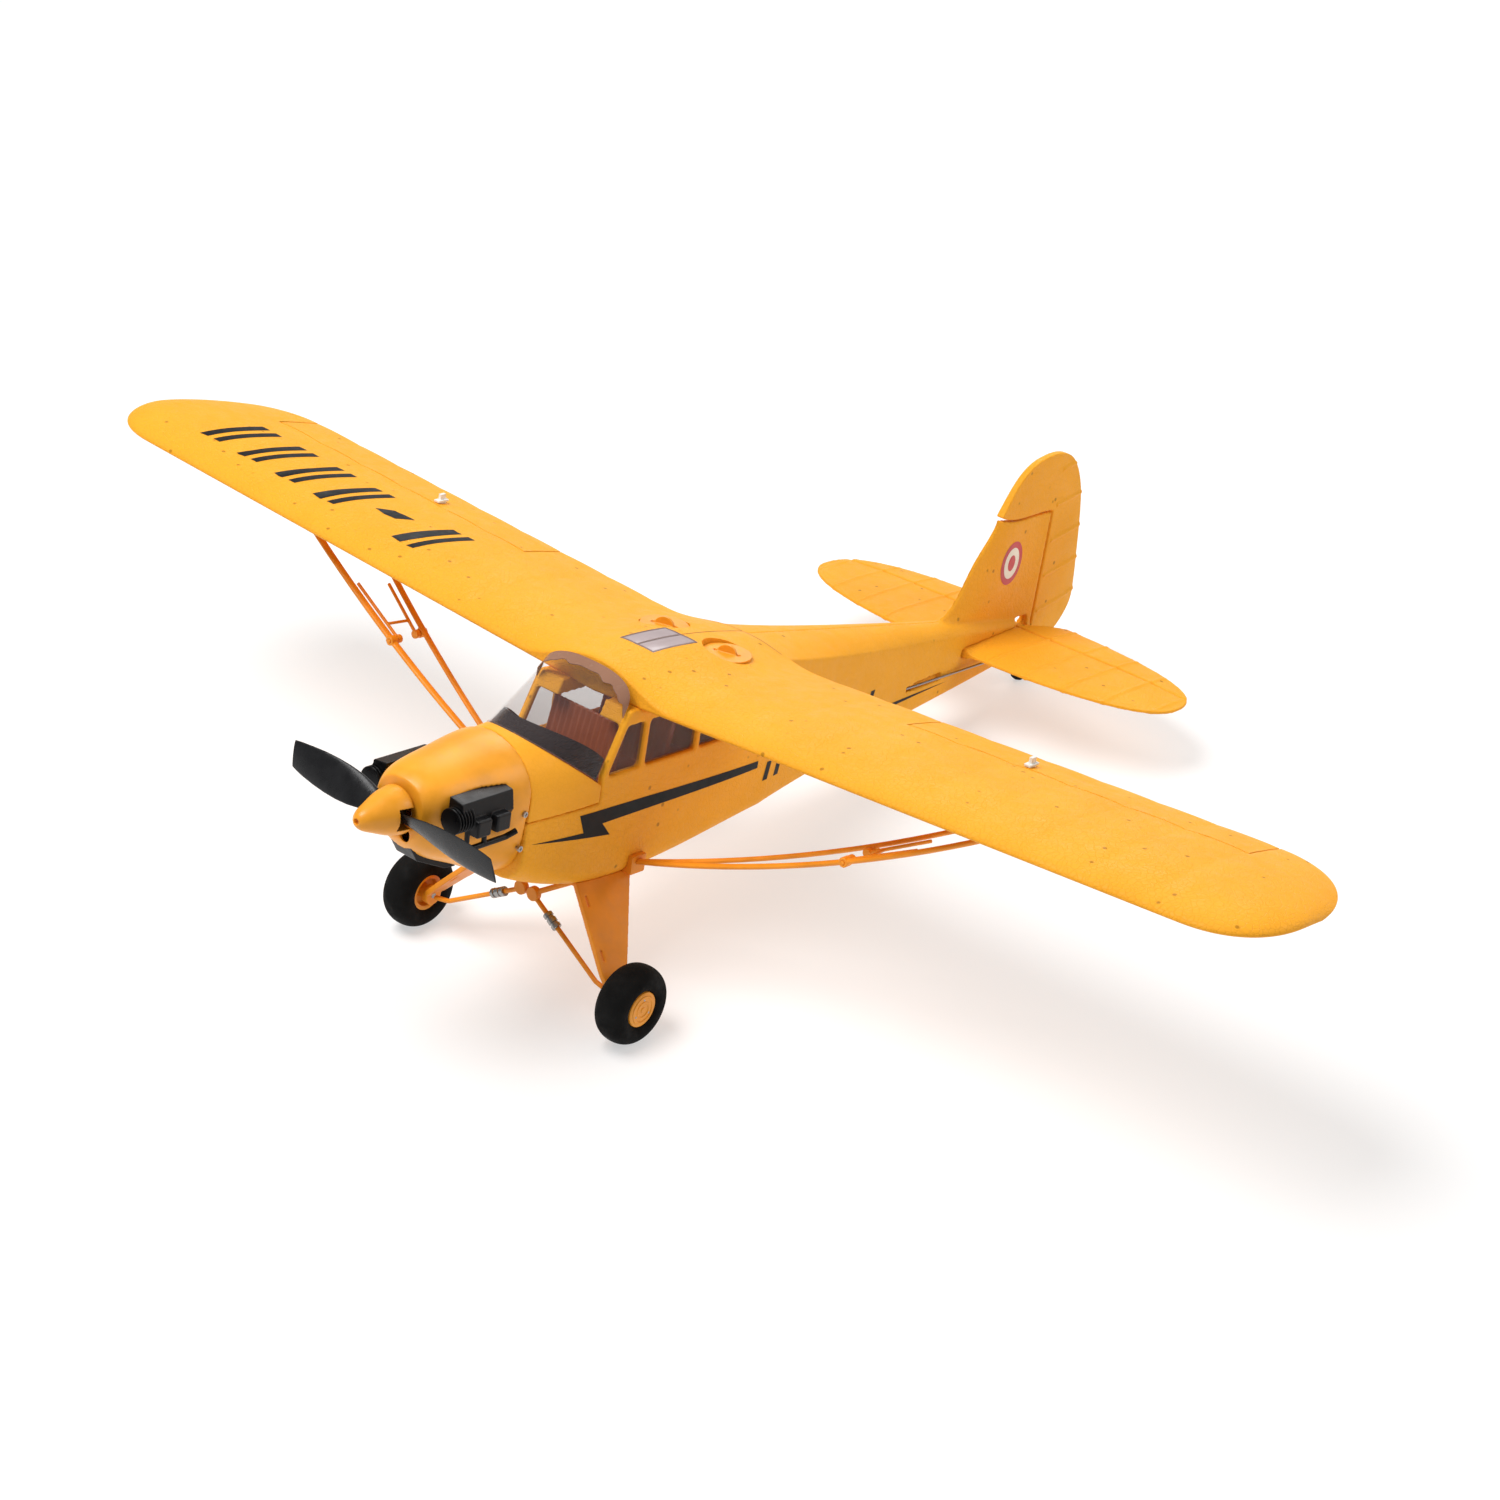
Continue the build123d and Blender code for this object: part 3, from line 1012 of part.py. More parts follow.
def aircraft():
    """Every sub-part in the aircraft's datum, by name."""
    arm_left, rod_left = aileron_linkage_left()
    elevator_arm, elevator_rod = elevator_linkage()
    rudder_arm, rudder_rod = rudder_linkage()
    wing_servo = wing_servo_left()
    body = fuselage()
    knob = lock_knob()
    cowl_screws = screws()
    parts = {
        "fuselage_left": fuselage_half(body, 1) - cowl_screws,
        "fuselage_right": fuselage_half(body, -1) - cowl_screws,
        "lock_knob_left": knob, "lock_knob_right": Pos(-2 * KNOB_X, 0, 0) * knob,
        "nose_cowl": nose_cowl() - cowl_screws, "skylight": skylight(), "wing_spar": wing_spar(),
        "side_glazing": side_glazing(), "seats": seats(), "motor_mount": motor_mount(),
        "chin_scoop": chin_scoop(), "flight_board": flight_board(), "battery": battery(),
        "servo_cases": group([wing_servo, mirrored(wing_servo)] + tail_servos()), "axles": axles(),
        "shock_sleeves": shock_sleeves(), "strut_fittings": strut_fittings(), "screws": cowl_screws,
        "tailplane": tailplane(), "elevator": elevator(), "elevator_horn": elevator_horn(),
        "elevator_arm": elevator_arm, "elevator_pushrod": elevator_rod, "rudder": rudder() - tail_wheel_fork(),
        "rudder_horn": rudder_horn(), "rudder_arm": rudder_arm, "rudder_pushrod": rudder_rod,
        "tail_wheel_fork": tail_wheel_fork(), "tail_wheel": tail_wheel(), "propeller": propeller(),
        "spinner": spinner(), "motor_rotor": motor_rotor(), "hood_hatch": hood_hatch(),
        "windshield": windshield(), "dashboard": dashboard(),
    }
    sided = {
        "wing": wing_left(), "aileron": aileron_left() - aileron_horn_left(), "aileron_horn": aileron_horn_left(),
        "aileron_arm": arm_left, "aileron_pushrod": rod_left,
        "engine": engine_left(), "gear_leg": gear_leg_left(), "shock_strut": shock_strut_left(),
        "wheel_hub": wheel_hub_left(), "tyre": tyre_left(), "wing_struts": wing_struts_left(),
        "jury_frame": jury_frame_left(),
    }
    for name, shape in sided.items():
        parts[name + "_left"] = shape
        parts[name + "_right"] = mirrored(shape)
    return parts


def main():
    os.makedirs("parts", exist_ok=True)
    parts = aircraft()
    stance = Rot(X=-stance_angle())
    standing = {name: stance * shape for name, shape in parts.items()}
    limits = [shape.bounding_box() for shape in standing.values()]
    nose = min(limit.min.Y for limit in limits)
    tail = max(limit.max.Y for limit in limits)
    floor = min(limit.min.Z for limit in limits)
    centre = Pos(0, -(nose + tail) / 2, -floor)
    for name, shape in standing.items():
        export_step(centre * shape, f"parts/{name}.step")


main()
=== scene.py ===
import json
import bpy
import bmesh
import numpy as np
from math import atan2, cos, exp, pi, radians, sin, sqrt
from mathutils import Matrix, Vector
from mathutils.bvhtree import BVHTree


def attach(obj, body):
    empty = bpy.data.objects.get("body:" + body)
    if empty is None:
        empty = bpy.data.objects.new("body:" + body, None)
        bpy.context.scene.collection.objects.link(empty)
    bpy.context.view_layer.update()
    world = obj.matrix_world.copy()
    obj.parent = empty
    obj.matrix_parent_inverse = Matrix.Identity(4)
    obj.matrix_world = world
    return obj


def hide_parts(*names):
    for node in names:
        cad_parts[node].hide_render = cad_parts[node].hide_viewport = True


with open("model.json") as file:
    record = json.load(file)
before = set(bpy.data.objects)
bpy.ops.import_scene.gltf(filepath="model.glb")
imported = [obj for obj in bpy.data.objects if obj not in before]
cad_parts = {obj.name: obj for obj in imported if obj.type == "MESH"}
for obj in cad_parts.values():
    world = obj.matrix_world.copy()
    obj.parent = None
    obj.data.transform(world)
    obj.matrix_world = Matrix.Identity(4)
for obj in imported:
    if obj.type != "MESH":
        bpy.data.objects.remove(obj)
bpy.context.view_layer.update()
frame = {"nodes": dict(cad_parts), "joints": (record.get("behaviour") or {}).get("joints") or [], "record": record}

nodes = frame["nodes"]
body_of = {n: b for b, group in frame["record"]["behaviour"]["bodies"].items() for n in group}
joints = {j["name"]: j for j in frame["joints"]}

# ---- the aircraft's own datum, in millimetres: wing's trailing edge at Y 0, nose-up by the stance ----
turn = Vector(joints["rudder_turn"]["axis"])
stance = Matrix.Rotation(-atan2(turn.y, turn.z), 4, "X") @ Matrix.Scale(0.001, 4)
shift = Vector(joints["tail_wheel_spin"]["pos_m"]) - stance @ Vector((0, 240, -65))
DATUM = Matrix.Translation(shift) @ stance
BACK = DATUM.inverted()


def at(x, y, z):
    return DATUM @ Vector((x, y, z))


def to_frame(points):
    m = np.array(DATUM)
    return np.asarray(points, float) @ m[:3, :3].T + m[:3, 3]


def to_datum(points):
    m = np.array(BACK)
    return np.asarray(points, float) @ m[:3, :3].T + m[:3, 3]


# ---- materials ----
class Nodes:
    """A short way to write a shader: each call makes a node and returns it."""

    def __init__(self, name, rough=0.5, **sockets):
        self.mat = bpy.data.materials.new(name)
        self.mat.use_nodes = True
        self.tree = self.mat.node_tree
        self.bsdf = self.tree.nodes["Principled BSDF"]
        self.bsdf.inputs["Roughness"].default_value = rough
        for key, value in sockets.items():
            self.bsdf.inputs[key.replace("_", " ")].default_value = value
        self.place = self.add("ShaderNodeTexCoord").outputs["Object"]

    def add(self, kind, **props):
        node = self.tree.nodes.new(kind)
        for key, value in props.items():
            setattr(node, key, value)
        return node

    def link(self, a, b):
        self.tree.links.new(a, b)

    def noise(self, scale, detail=4.0, rough=0.55, stretch=None):
        node = self.add("ShaderNodeTexNoise")
        node.inputs["Scale"].default_value = scale
        node.inputs["Detail"].default_value = detail
        node.inputs["Roughness"].default_value = rough
        source = self.place
        if stretch:
            mapping = self.add("ShaderNodeMapping")
            mapping.inputs["Scale"].default_value = stretch
            self.link(self.place, mapping.inputs["Vector"])
            source = mapping.outputs["Vector"]
        self.link(source, node.inputs["Vector"])
        return node.outputs["Fac"]

    def cells(self, scale, feature="F1"):
        node = self.add("ShaderNodeTexVoronoi", feature=feature)
        node.inputs["Scale"].default_value = scale
        self.link(self.place, node.inputs["Vector"])
        return node.outputs["Distance"]

    def ramp(self, value, *stops):
        node = self.add("ShaderNodeValToRGB")
        while len(node.color_ramp.elements) < len(stops):
            node.color_ramp.elements.new(0.5)
        for element, (place, colour) in zip(node.color_ramp.elements, stops):
            element.position = place
            element.color = (*colour, 1)
        self.link(value, node.inputs["Fac"])
        return node.outputs["Color"]

    def colour(self, output):
        self.link(output, self.bsdf.inputs["Base Color"])

    def mix(self, factor, a, b, blend="MIX"):
        node = self.add("ShaderNodeMix", data_type="RGBA", blend_type=blend)
        if isinstance(factor, float):
            node.inputs[0].default_value = factor
        else:
            self.link(factor, node.inputs[0])
        for value, socket in ((a, node.inputs[6]), (b, node.inputs[7])):
            if isinstance(value, tuple):
                socket.default_value = (*value, 1)
            else:
                self.link(value, socket)
        return node.outputs[2]

    def between(self, value, low, high, to_low=0.0, to_high=1.0):
        node = self.add("ShaderNodeMapRange")
        limits = (("From Min", low), ("From Max", high), ("To Min", to_low), ("To Max", to_high))
        for socket, number in limits:
            node.inputs[socket].default_value = number
        self.link(value, node.inputs["Value"])
        return node.outputs["Result"]

    def rough(self, value, low, high):
        self.link(self.between(value, 0.3, 0.7, low, high), self.bsdf.inputs["Roughness"])

    def bump(self, *heights):
        """Each height is (output, distance in metres)."""
        last = None
        for output, distance in heights:
            node = self.add("ShaderNodeBump")
            node.inputs["Distance"].default_value = distance
            self.link(output, node.inputs["Height"])
            if last:
                self.link(last, node.inputs["Normal"])
            last = node.outputs["Normal"]
        self.link(last, self.bsdf.inputs["Normal"])


def foam_material(name, low, high, bead=0.00010, painted_pits=True):
    """Moulded bead foam: pressed cells, small pits between the beads and a slightly uneven colour, with painted
    shade darkening the pits and the joints between the beads.
    """
    n = Nodes(name, rough=0.5, Specular_IOR_Level=0.15)
    mottle = n.noise(28.0, 3.0)
    colour = n.ramp(mottle, (0.3, low), (0.7, high))
    # painted shade: dark dots where the foam's small pits hold shade
    if painted_pits:
        dots = n.cells(90.0)
        pit_shade = n.between(dots, 0.06, 0.11)
        colour = n.mix(pit_shade, tuple(c * 0.55 for c in low), colour)
    edges = n.cells(420.0, "DISTANCE_TO_EDGE")
    seams = n.between(edges, 0.0, 0.10)
    # painted shade: the colour darkens along the joints between the beads, where the creases lie
    colour = n.mix(n.between(edges, 0.0, 0.08, 0.82, 1.0), tuple(c * 0.8 for c in low), colour)
    n.colour(colour)
    n.rough(n.noise(160.0), 0.42, 0.62)
    n.bump((seams, bead), (n.noise(900.0, 2.0), bead * 0.4), (n.noise(35.0, 2.0), 0.0004))
    return n.mat


def plastic_material(name, colour, rough=0.4, grain=0.00003, streak=None, **sockets):
    """Moulded plastic with fine grain, faint scuffs and a slightly uneven gloss."""
    n = Nodes(name, rough=rough, **sockets)
    dark = tuple(c * 0.86 for c in colour)
    light = tuple(min(1.0, c * 1.06 + 0.004) for c in colour)
    n.colour(n.ramp(n.noise(55.0, 4.0), (0.35, dark), (0.65, light)))
    n.rough(n.noise(220.0, 3.0, stretch=streak), rough * 0.8, rough * 1.25)
    n.bump((n.noise(2600.0, 2.0), grain), (n.noise(120.0, 2.0), grain * 4))
    return n.mat


def metal_material(name, colour, rough=0.25, streak=(1, 14, 14)):
    """Drawn or turned metal with fine streaks along the piece."""
    n = Nodes(name, rough=rough, Metallic=1.0)
    dark = tuple(c * 0.8 for c in colour)
    n.colour(n.ramp(n.noise(900.0, 3.0, stretch=streak), (0.3, dark), (0.7, colour)))
    n.rough(n.noise(1400.0, 3.0, stretch=streak), rough * 0.7, rough * 1.5)
    n.bump((n.noise(1600.0, 2.0, stretch=streak), 0.00002))
    return n.mat


def film_material(name, tint, rough=0.06, alpha=0.25, waves=0.0002):
    """Thin clear formed sheet: mostly see-through, with a tint, soft waves and fine scratches."""
    n = Nodes(name, rough=rough, Alpha=alpha, Specular_IOR_Level=0.22)
    n.colour(n.ramp(n.noise(40.0, 3.0), (0.3, tuple(c * 0.85 for c in tint)), (0.7, tint)))
    n.rough(n.noise(300.0, 4.0), rough * 0.6, rough * 2.0)
    n.bump((n.noise(30.0, 2.0), waves))
    return n.mat


FOAM_DARK, FOAM_LIGHT = (0.85, 0.355, 0.016), (0.90, 0.385, 0.022)
FOAM = foam_material("foam", FOAM_DARK, FOAM_LIGHT)
FOAM_PLAIN = foam_material("foam_smooth_skin", FOAM_DARK, FOAM_LIGHT, bead=0.00003, painted_pits=False)
MOULDED = plastic_material("moulded_orange", (0.84, 0.33, 0.016), 0.36, Specular_IOR_Level=0.35)
BRACKET = plastic_material("strut_orange", (0.80, 0.27, 0.012), 0.42, Specular_IOR_Level=0.3)
BLACK = plastic_material("black_plastic", (0.0025, 0.0025, 0.003), 0.32, Specular_IOR_Level=0.2)
BLADE = plastic_material("propeller_black", (0.005, 0.005, 0.006), 0.28, Specular_IOR_Level=0.3)
RUBBER = plastic_material("foam_rubber", (0.0035, 0.0034, 0.0033), 0.80, grain=0.00009,
                          Specular_IOR_Level=0.12)
WHITE = plastic_material("white_nylon", (0.80, 0.79, 0.74), 0.4)
STEEL = metal_material("bright_steel", (0.36, 0.35, 0.34), 0.2)
DARK_STEEL = metal_material("screw_steel", (0.42, 0.41, 0.40), 0.32)
TRAY = plastic_material("cabin_tray", (0.003, 0.003, 0.0035), 0.28, streak=(1, 1, 8),
                        Specular_IOR_Level=0.2)
# painted shade: the seats are the foam's orange darkened to red-brown, as if in the dim cabin's shade
SEAT_SHADED = plastic_material("seat_painted_shade", (0.30, 0.062, 0.012), 0.45)
FINE = 0.00002
SEAM = plastic_material("seam_shadow", (0.40, 0.125, 0.006), 0.5, grain=FINE, Specular_IOR_Level=0.2)
FRAME = plastic_material("pane_frame", (0.16, 0.085, 0.065), 0.35, grain=FINE)
CARBON = plastic_material("carbon_tube", (0.012, 0.012, 0.013), 0.25, streak=(1, 30, 30))
BOARD = plastic_material("circuit_board", (0.01, 0.07, 0.025), 0.4)
WRAP = plastic_material("battery_wrap", (0.02, 0.05, 0.22), 0.25)
SERVO = plastic_material("servo_blue", (0.02, 0.035, 0.12), 0.35)
INK = plastic_material("dark_trim", (0.0035, 0.0035, 0.004), 0.42, grain=FINE, Specular_IOR_Level=0.14)
RED = plastic_material("red_trim", (0.52, 0.02, 0.02), 0.42, grain=FINE)
CREAM = plastic_material("pale_trim", (0.80, 0.74, 0.62), 0.42, grain=FINE)
SCREEN = film_material("windshield_film", (0.22, 0.17, 0.17), alpha=0.10)
PANE = film_material("side_pane", (0.20, 0.14, 0.12), alpha=0.24)
ROOF_PANE = film_material("roof_pane", (0.52, 0.42, 0.42), alpha=0.88, rough=0.12)
# painted shade: a brown, nearly opaque film in place of the wing's foam in shade seen through the windshield's
# head
HEADER_SHADE = film_material("header_shade_film", (0.33, 0.17, 0.11), alpha=0.88, rough=0.16, waves=0.0006)


# ---- making pieces ----
def shown(name, mesh):
    """A new object with this mesh, linked to the scene."""
    obj = bpy.data.objects.new(name, mesh)
    bpy.context.scene.collection.objects.link(obj)
    return obj


def datum_mesh(name, points, faces, weld=0.0):
    """A mesh from datum points in millimetres, its faces turned outwards."""
    mesh = bpy.data.meshes.new(name)
    mesh.from_pydata([tuple(p) for p in to_frame(points)], [], [tuple(f) for f in faces])
    bm = bmesh.new()
    bm.from_mesh(mesh)
    if weld:
        bmesh.ops.remove_doubles(bm, verts=bm.verts, dist=weld)
    bmesh.ops.recalc_face_normals(bm, faces=bm.faces)
    bm.to_mesh(mesh)
    bm.free()
    return mesh


def baked(obj):
    """Puts the result of the object's modifiers into its mesh and returns that mesh."""
    graph = bpy.context.evaluated_depsgraph_get()
    made = bpy.data.meshes.new_from_object(obj.evaluated_get(graph))
    obj.modifiers.clear()
    obj.data = made
    return made


def finish_piece(obj, body, material, replaced=(), angle=35.0):
    """Gives a piece its material, smooth shading, body and the CAD nodes it replaces."""
    obj.data.materials.clear()
    obj.data.materials.append(material)
    if obj.type == "MESH":
        obj.data.shade_smooth()
        obj.data.set_sharp_from_angle(angle=radians(angle))
    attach(obj, body)
    if replaced:
        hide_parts(*replaced)
    return obj


def mesh_piece(name, points, faces, body, material, replaced=(), angle=35.0):
    """A piece from datum points in millimetres."""
    obj = shown(name, datum_mesh(name, points, faces, weld=1e-7))
    return finish_piece(obj, body, material, replaced, angle)


def grid_faces(rows, columns, closed=False):
    """Quads of a grid of points stored row after row; closed joins the last column to the first."""
    faces = []
    span = columns if closed else columns - 1
    for r in range(rows - 1):
        for c in range(span):
            d = (c + 1) % columns
            faces.append((r * columns + c, r * columns + d, (r + 1) * columns + d, (r + 1) * columns + c))
    return faces


def loft(name, sections, body, material, replaced=(), angle=35.0):
    """A closed skin over equal-length closed sections, with both ends capped."""
    count = len(sections[0])
    points = np.concatenate([np.asarray(s, float) for s in sections])
    faces = grid_faces(len(sections), count, closed=True)
    faces.append(tuple(reversed(range(count))))
    last = (len(sections) - 1) * count
    faces.append(tuple(range(last, last + count)))
    return mesh_piece(name, points, faces, body, material, replaced, angle)


def lathe(name, profile, centre, axis, body, material, replaced=(), steps=72, angle=35.0):
    """A turned piece. The profile is (radius, distance along the axis).

    It is closed on itself if it starts and ends off the axis."""
    axis = Vector(axis).normalized()
    side = axis.orthogonal().normalized()
    other = axis.cross(side)
    rings = []
    for k in range(steps):
        a = 2 * pi * k / steps
        out = side * cos(a) + other * sin(a)
        rings.append([Vector(centre) + out * r + axis * d for r, d in profile])
    points = [tuple(p) for ring in rings for p in ring]
    count = len(profile)
    faces = []
    for k in range(steps):
        n = (k + 1) % steps
        for c in range(count - 1):
            faces.append((k * count + c, n * count + c, n * count + c + 1, k * count + c + 1))
        if profile[0][0] > 1e-6 and profile[-1][0] > 1e-6:
            faces.append((k * count + count - 1, n * count + count - 1, n * count, k * count))
    return mesh_piece(name, points, faces, body, material, replaced, angle)


def moulded(node, voxel, material, rounds=2, shape=None):
    """The CAD node's solid with its edges rounded as foam or plastic comes from a mould."""
    mesh = nodes[node].data.copy()
    bm = bmesh.new()
    bm.from_mesh(mesh)
    bmesh.ops.remove_doubles(bm, verts=bm.verts, dist=1e-6)
    bm.to_mesh(mesh)
    bm.free()
    obj = shown(node + "_skin", mesh)
    remesh = obj.modifiers.new("remesh", "REMESH")
    remesh.mode = "VOXEL"
    remesh.voxel_size = voxel * 0.001
    if rounds:
        smooth = obj.modifiers.new("smooth", "SMOOTH")
        smooth.factor = 0.5
        smooth.iterations = rounds
    made = baked(obj)
    if shape:
        co = np.zeros(len(made.vertices) * 3, np.float32)
        made.vertices.foreach_get("co", co)
        moved = to_frame(shape(to_datum(co.reshape(-1, 3))))
        made.vertices.foreach_set("co", moved.astype(np.float32).ravel())
    return finish_piece(obj, body_of[node], material, (node,), 60.0)


def dress(node, material):
    """A CAD node whose shape stays as it is."""
    obj = nodes[node]
    obj.data.materials.clear()
    obj.data.materials.append(material)


# ---- wing, in the datum's millimetres ----
CHORD = 99.0
TIP_Y, LE_Z, TE_Z, DIHEDRAL = -60.0, -3.0, -4.7, 0.06
AILERON = (111.2, 278.2, 26.5)      # inner end, outer end, chord
HINGE = 1 - AILERON[2] / CHORD      # the aileron's hinge as a share of the chord
HINGE_DEPTH = 1.1                   # hinge axis below the upper skin
SERVO_X = 171.0
KNOB = (18.2, -34.0)                # axis of the wing lock
RIB_PITCH = 27.8


def wing_edges(x):
    """Leading and trailing edge at a station, round at the tip."""
    lead, trail = -CHORD, 0.0
    if x > 290:
        lead = TIP_Y - (CHORD + TIP_Y) * (1 - min(1, (x - 290) / 35) ** 2.3) ** (1 / 2.3)
    if x > 270:
        trail = TIP_Y - TIP_Y * (1 - min(1, (x - 270) / 55) ** 2.3) ** (1 / 2.3)
    return lead, trail


def camber(s):
    """Camber of the section at a share of the chord."""
    return 0.03 / 0.16 * (0.8 * s - s * s) if s < 0.4 else 0.03 / 0.36 * (0.2 + 0.8 * s - s * s)


def half_thick(s):
    """Half the section's thickness at a share of the chord."""
    return 0.5 * (0.2969 * sqrt(s) - 0.126 * s - 0.3516 * s**2 + 0.2843 * s**3 - 0.098 * s**4)


def rise(x, s):
    """The roof's hump over the cabin."""
    if x >= 45:
        return 0.0
    return 7.5 * (1 + cos(pi * x / 45)) / 2 * (1 + 0.7 * exp(-s / 0.10))


def rib(x, s):
    """Cloth-like sag of the upper skin between the ribs, strongest behind the leading edge."""
    if x < 40 or x > 300:
        return 0.0
    sag = 1 - abs(cos(pi * (x - 40) / RIB_PITCH)) ** 0.6
    fade = min(1.0, (x - 40) / 12) * min(1.0, (300 - x) / 20)
    return -1.3 * sag * fade * min(1.0, s / 0.16) * (1.0 - 0.75 * s)


def skin(x, s, upper):
    """Height of the upper or lower skin."""
    lead, trail = wing_edges(x)
    middle = LE_Z + (TE_Z - LE_Z) * s + DIHEDRAL * x
    z = middle + (trail - lead) * (camber(s) + (1 if upper else -1) * half_thick(s))
    return z + (rise(x, s) + rib(x, s) if upper else 0.0)


def wing_loop(x, cut):
    """Closed section: over the top from the rear to the nose, round it and back below."""
    lead, trail = wing_edges(x)
    chord = trail - lead
    reach = HINGE if cut else 1.0
    fractions = [reach * (1 - cos(pi * k / 60)) / 2 for k in range(61)]
    top = [(x, lead + s * chord, skin(x, s, True)) for s in reversed(fractions)]
    height = rise(x, 0.0)
    nose = []
    for k in range(1, 8):
        a = pi * k / 8
        nose.append((x, lead, LE_Z + DIHEDRAL * x + height * (1 + cos(a)) / 2))
    bottom = [(x, lead + s * chord, skin(x, s, False)) for s in fractions]
    return top + nose + bottom


def stations():
    """Stations from root to tip, each with whether the aileron's gap is cut out there."""
    inner, outer, _ = AILERON
    xs = [(x, False) for x in np.arange(0.0, inner, 1.6)] + [(inner, False)]
    xs += [(x, True) for x in np.linspace(inner, outer, 108)]
    xs += [(outer, False)] + [(x, False) for x in np.arange(outer + 1.4, 300, 1.4)]
    xs += [(300 + 24.6 * (1 - (1 - k / 26) ** 1.8), False) for k in range(0, 27)]
    return xs


def cut_away(obj, points, faces):
    """Takes the solid with these points and faces away from the piece."""
    cutter = shown("cutter", datum_mesh("cutter", points, faces))
    mod = obj.modifiers.new("cut", "BOOLEAN")
    mod.operation = "DIFFERENCE"
    mod.solver = "EXACT"
    mod.object = cutter
    baked(obj)
    bpy.data.objects.remove(cutter)


def cut_box(obj, x, y, z):
    points = [(a, b, c) for a in x for b in y for c in z]
    faces = [(0, 1, 3, 2), (4, 6, 7, 5), (0, 4, 5, 1), (2, 3, 7, 6), (0, 2, 6, 4), (1, 5, 7, 3)]
    cut_away(obj, points, faces)


def cut_drum(obj, centre, radius, z_low, z_high, steps=64):
    turns = [2 * pi * k / steps for k in range(steps)]
    ring = [(centre[0] + radius * cos(a), centre[1] + radius * sin(a)) for a in turns]
    points = [(x, y, z_low) for x, y in ring] + [(x, y, z_high) for x, y in ring]
    faces = [tuple(range(steps)), tuple(range(steps, 2 * steps))]
    faces += [(k, (k + 1) % steps, steps + (k + 1) % steps, steps + k) for k in range(steps)]
    cut_away(obj, points, faces)


def wing(side):
    """One wing half with its servo pocket, lock hole and half of the skylight's opening."""
    name = "left" if side > 0 else "right"
    loops = [np.array(wing_loop(x, cut)) * (side, 1, 1) for x, cut in stations()]
    obj = loft("wing_skin_" + name, loops, "airframe", FOAM, ("wing_" + name,), 40.0)
    z = skin(SERVO_X, HINGE, True) - HINGE_DEPTH
    knob = (side * KNOB[0], KNOB[1])
    cut_box(obj, sorted((side * 173.0, side * 185.0)), (-74, -54), (z - 14, z + 3.4))
    cut_box(obj, sorted((side * 168.4, side * 173.1)), (-65, -51), (z - 14, z + 2.6))
    cut_drum(obj, knob, 11.5, 5.35, 20)
    cut_drum(obj, knob, 2.5, -20, 8, 32)
    cut_box(obj, sorted((-side, side * 9.6)), (-74.2, -44.3), (6.0, 20))
    cut_box(obj, sorted((-side, side * 8.6)), (-73.2, -45.3), (-20, 8.0))
    obj.data.shade_smooth()
    obj.data.set_sharp_from_angle(angle=radians(40))


def aileron(side):
    """One aileron with the bevelled front that lets it swing both ways."""
    name = "left" if side > 0 else "right"
    inner, outer, chord = AILERON
    gap, slope = 0.5, sin(radians(28)) / cos(radians(28))
    loops = []
    for x in np.linspace(inner + 0.9, outer - 0.9, 110):
        lead, trail = wing_edges(x)
        axis_z = skin(x, HINGE, True) - HINGE_DEPTH - rib(x, HINGE)
        top, bottom = [], []
        for k in range(25):
            y_rel = (1 - cos(pi * k / 24)) / 2
            y = -chord + gap + (chord - gap + trail) * y_rel
            s = (y - lead) / (trail - lead)
            zt, zb = skin(x, min(1.0, s), True), skin(x, min(1.0, s), False)
            top.append((x, max(y, -chord + gap + abs(zt - axis_z) * slope), zt))
            bottom.append((x, max(y, -chord + gap + abs(zb - axis_z) * slope), zb))
        front = [(x, -chord + gap, axis_z)]
        loops.append(np.array(list(reversed(top)) + front + bottom) * (side, 1, 1))
    loft("aileron_skin_" + name, loops, "aileron_" + name, FOAM, ("aileron_" + name,), 30.0)


# ---- the fuselage's flat trim, laid on the skin ----
def skin_tree(*names):
    """Ray target made from the shown pieces of these names."""
    points, faces, base = [], [], 0
    for name in names:
        mesh = bpy.data.objects[name].data
        points += [v.co.copy() for v in mesh.vertices]
        faces += [tuple(base + i for i in p.vertices) for p in mesh.polygons]
        base = len(points)
    return BVHTree.FromPolygons(points, faces)


DECAL_STEP = 2.0                    # largest face of a decal


def decal(name, outline, project, tree, material, lift=0.12):
    """A thin film with the given outline (u, v in millimetres), cut fine and laid on the skin below it.

    project gives (start point, direction) in the datum for (u, v)."""
    bm = bmesh.new()
    for u, v in outline:
        bm.verts.new((u, v, 0))
    bm.faces.new(bm.verts)
    us, vs = [p[0] for p in outline], [p[1] for p in outline]
    for axis, low, high in ((0, min(us), max(us)), (1, min(vs), max(vs))):
        normal = (1, 0, 0) if axis == 0 else (0, 1, 0)
        for cut in np.arange(low + DECAL_STEP, high, DECAL_STEP):
            place = (cut, 0, 0) if axis == 0 else (0, cut, 0)
            everything = bm.verts[:] + bm.edges[:] + bm.faces[:]
            bmesh.ops.bisect_plane(bm, geom=everything, plane_co=place, plane_no=normal)
    for vert in bm.verts:
        start, way = project(vert.co.x, vert.co.y)
        origin = at(*start)
        direction = (DATUM.to_3x3() @ Vector(way)).normalized()
        hit = tree.ray_cast(origin, direction)
        if hit[0] is None:
            raise ValueError(f"{name} misses the skin at {vert.co}")
        vert.co = hit[0] - direction * lift * 0.001
    bmesh.ops.recalc_face_normals(bm, faces=bm.faces)
    mesh = bpy.data.meshes.new(name)
    bm.to_mesh(mesh)
    bm.free()
    finish_piece(shown(name, mesh), "airframe", material, angle=60.0)


# ---- wing and ailerons ----
for side in (1, -1):
    wing(side)
    aileron(side)

# ---- foam and moulded pieces that keep the CAD shape, with softened edges ----
TAIL_HALF, TAIL_FRONT, TAIL_WIDE, TAIL_REAR = 109.0, 171.0, 209.0, 249.0
TAIL_Z = -40.5


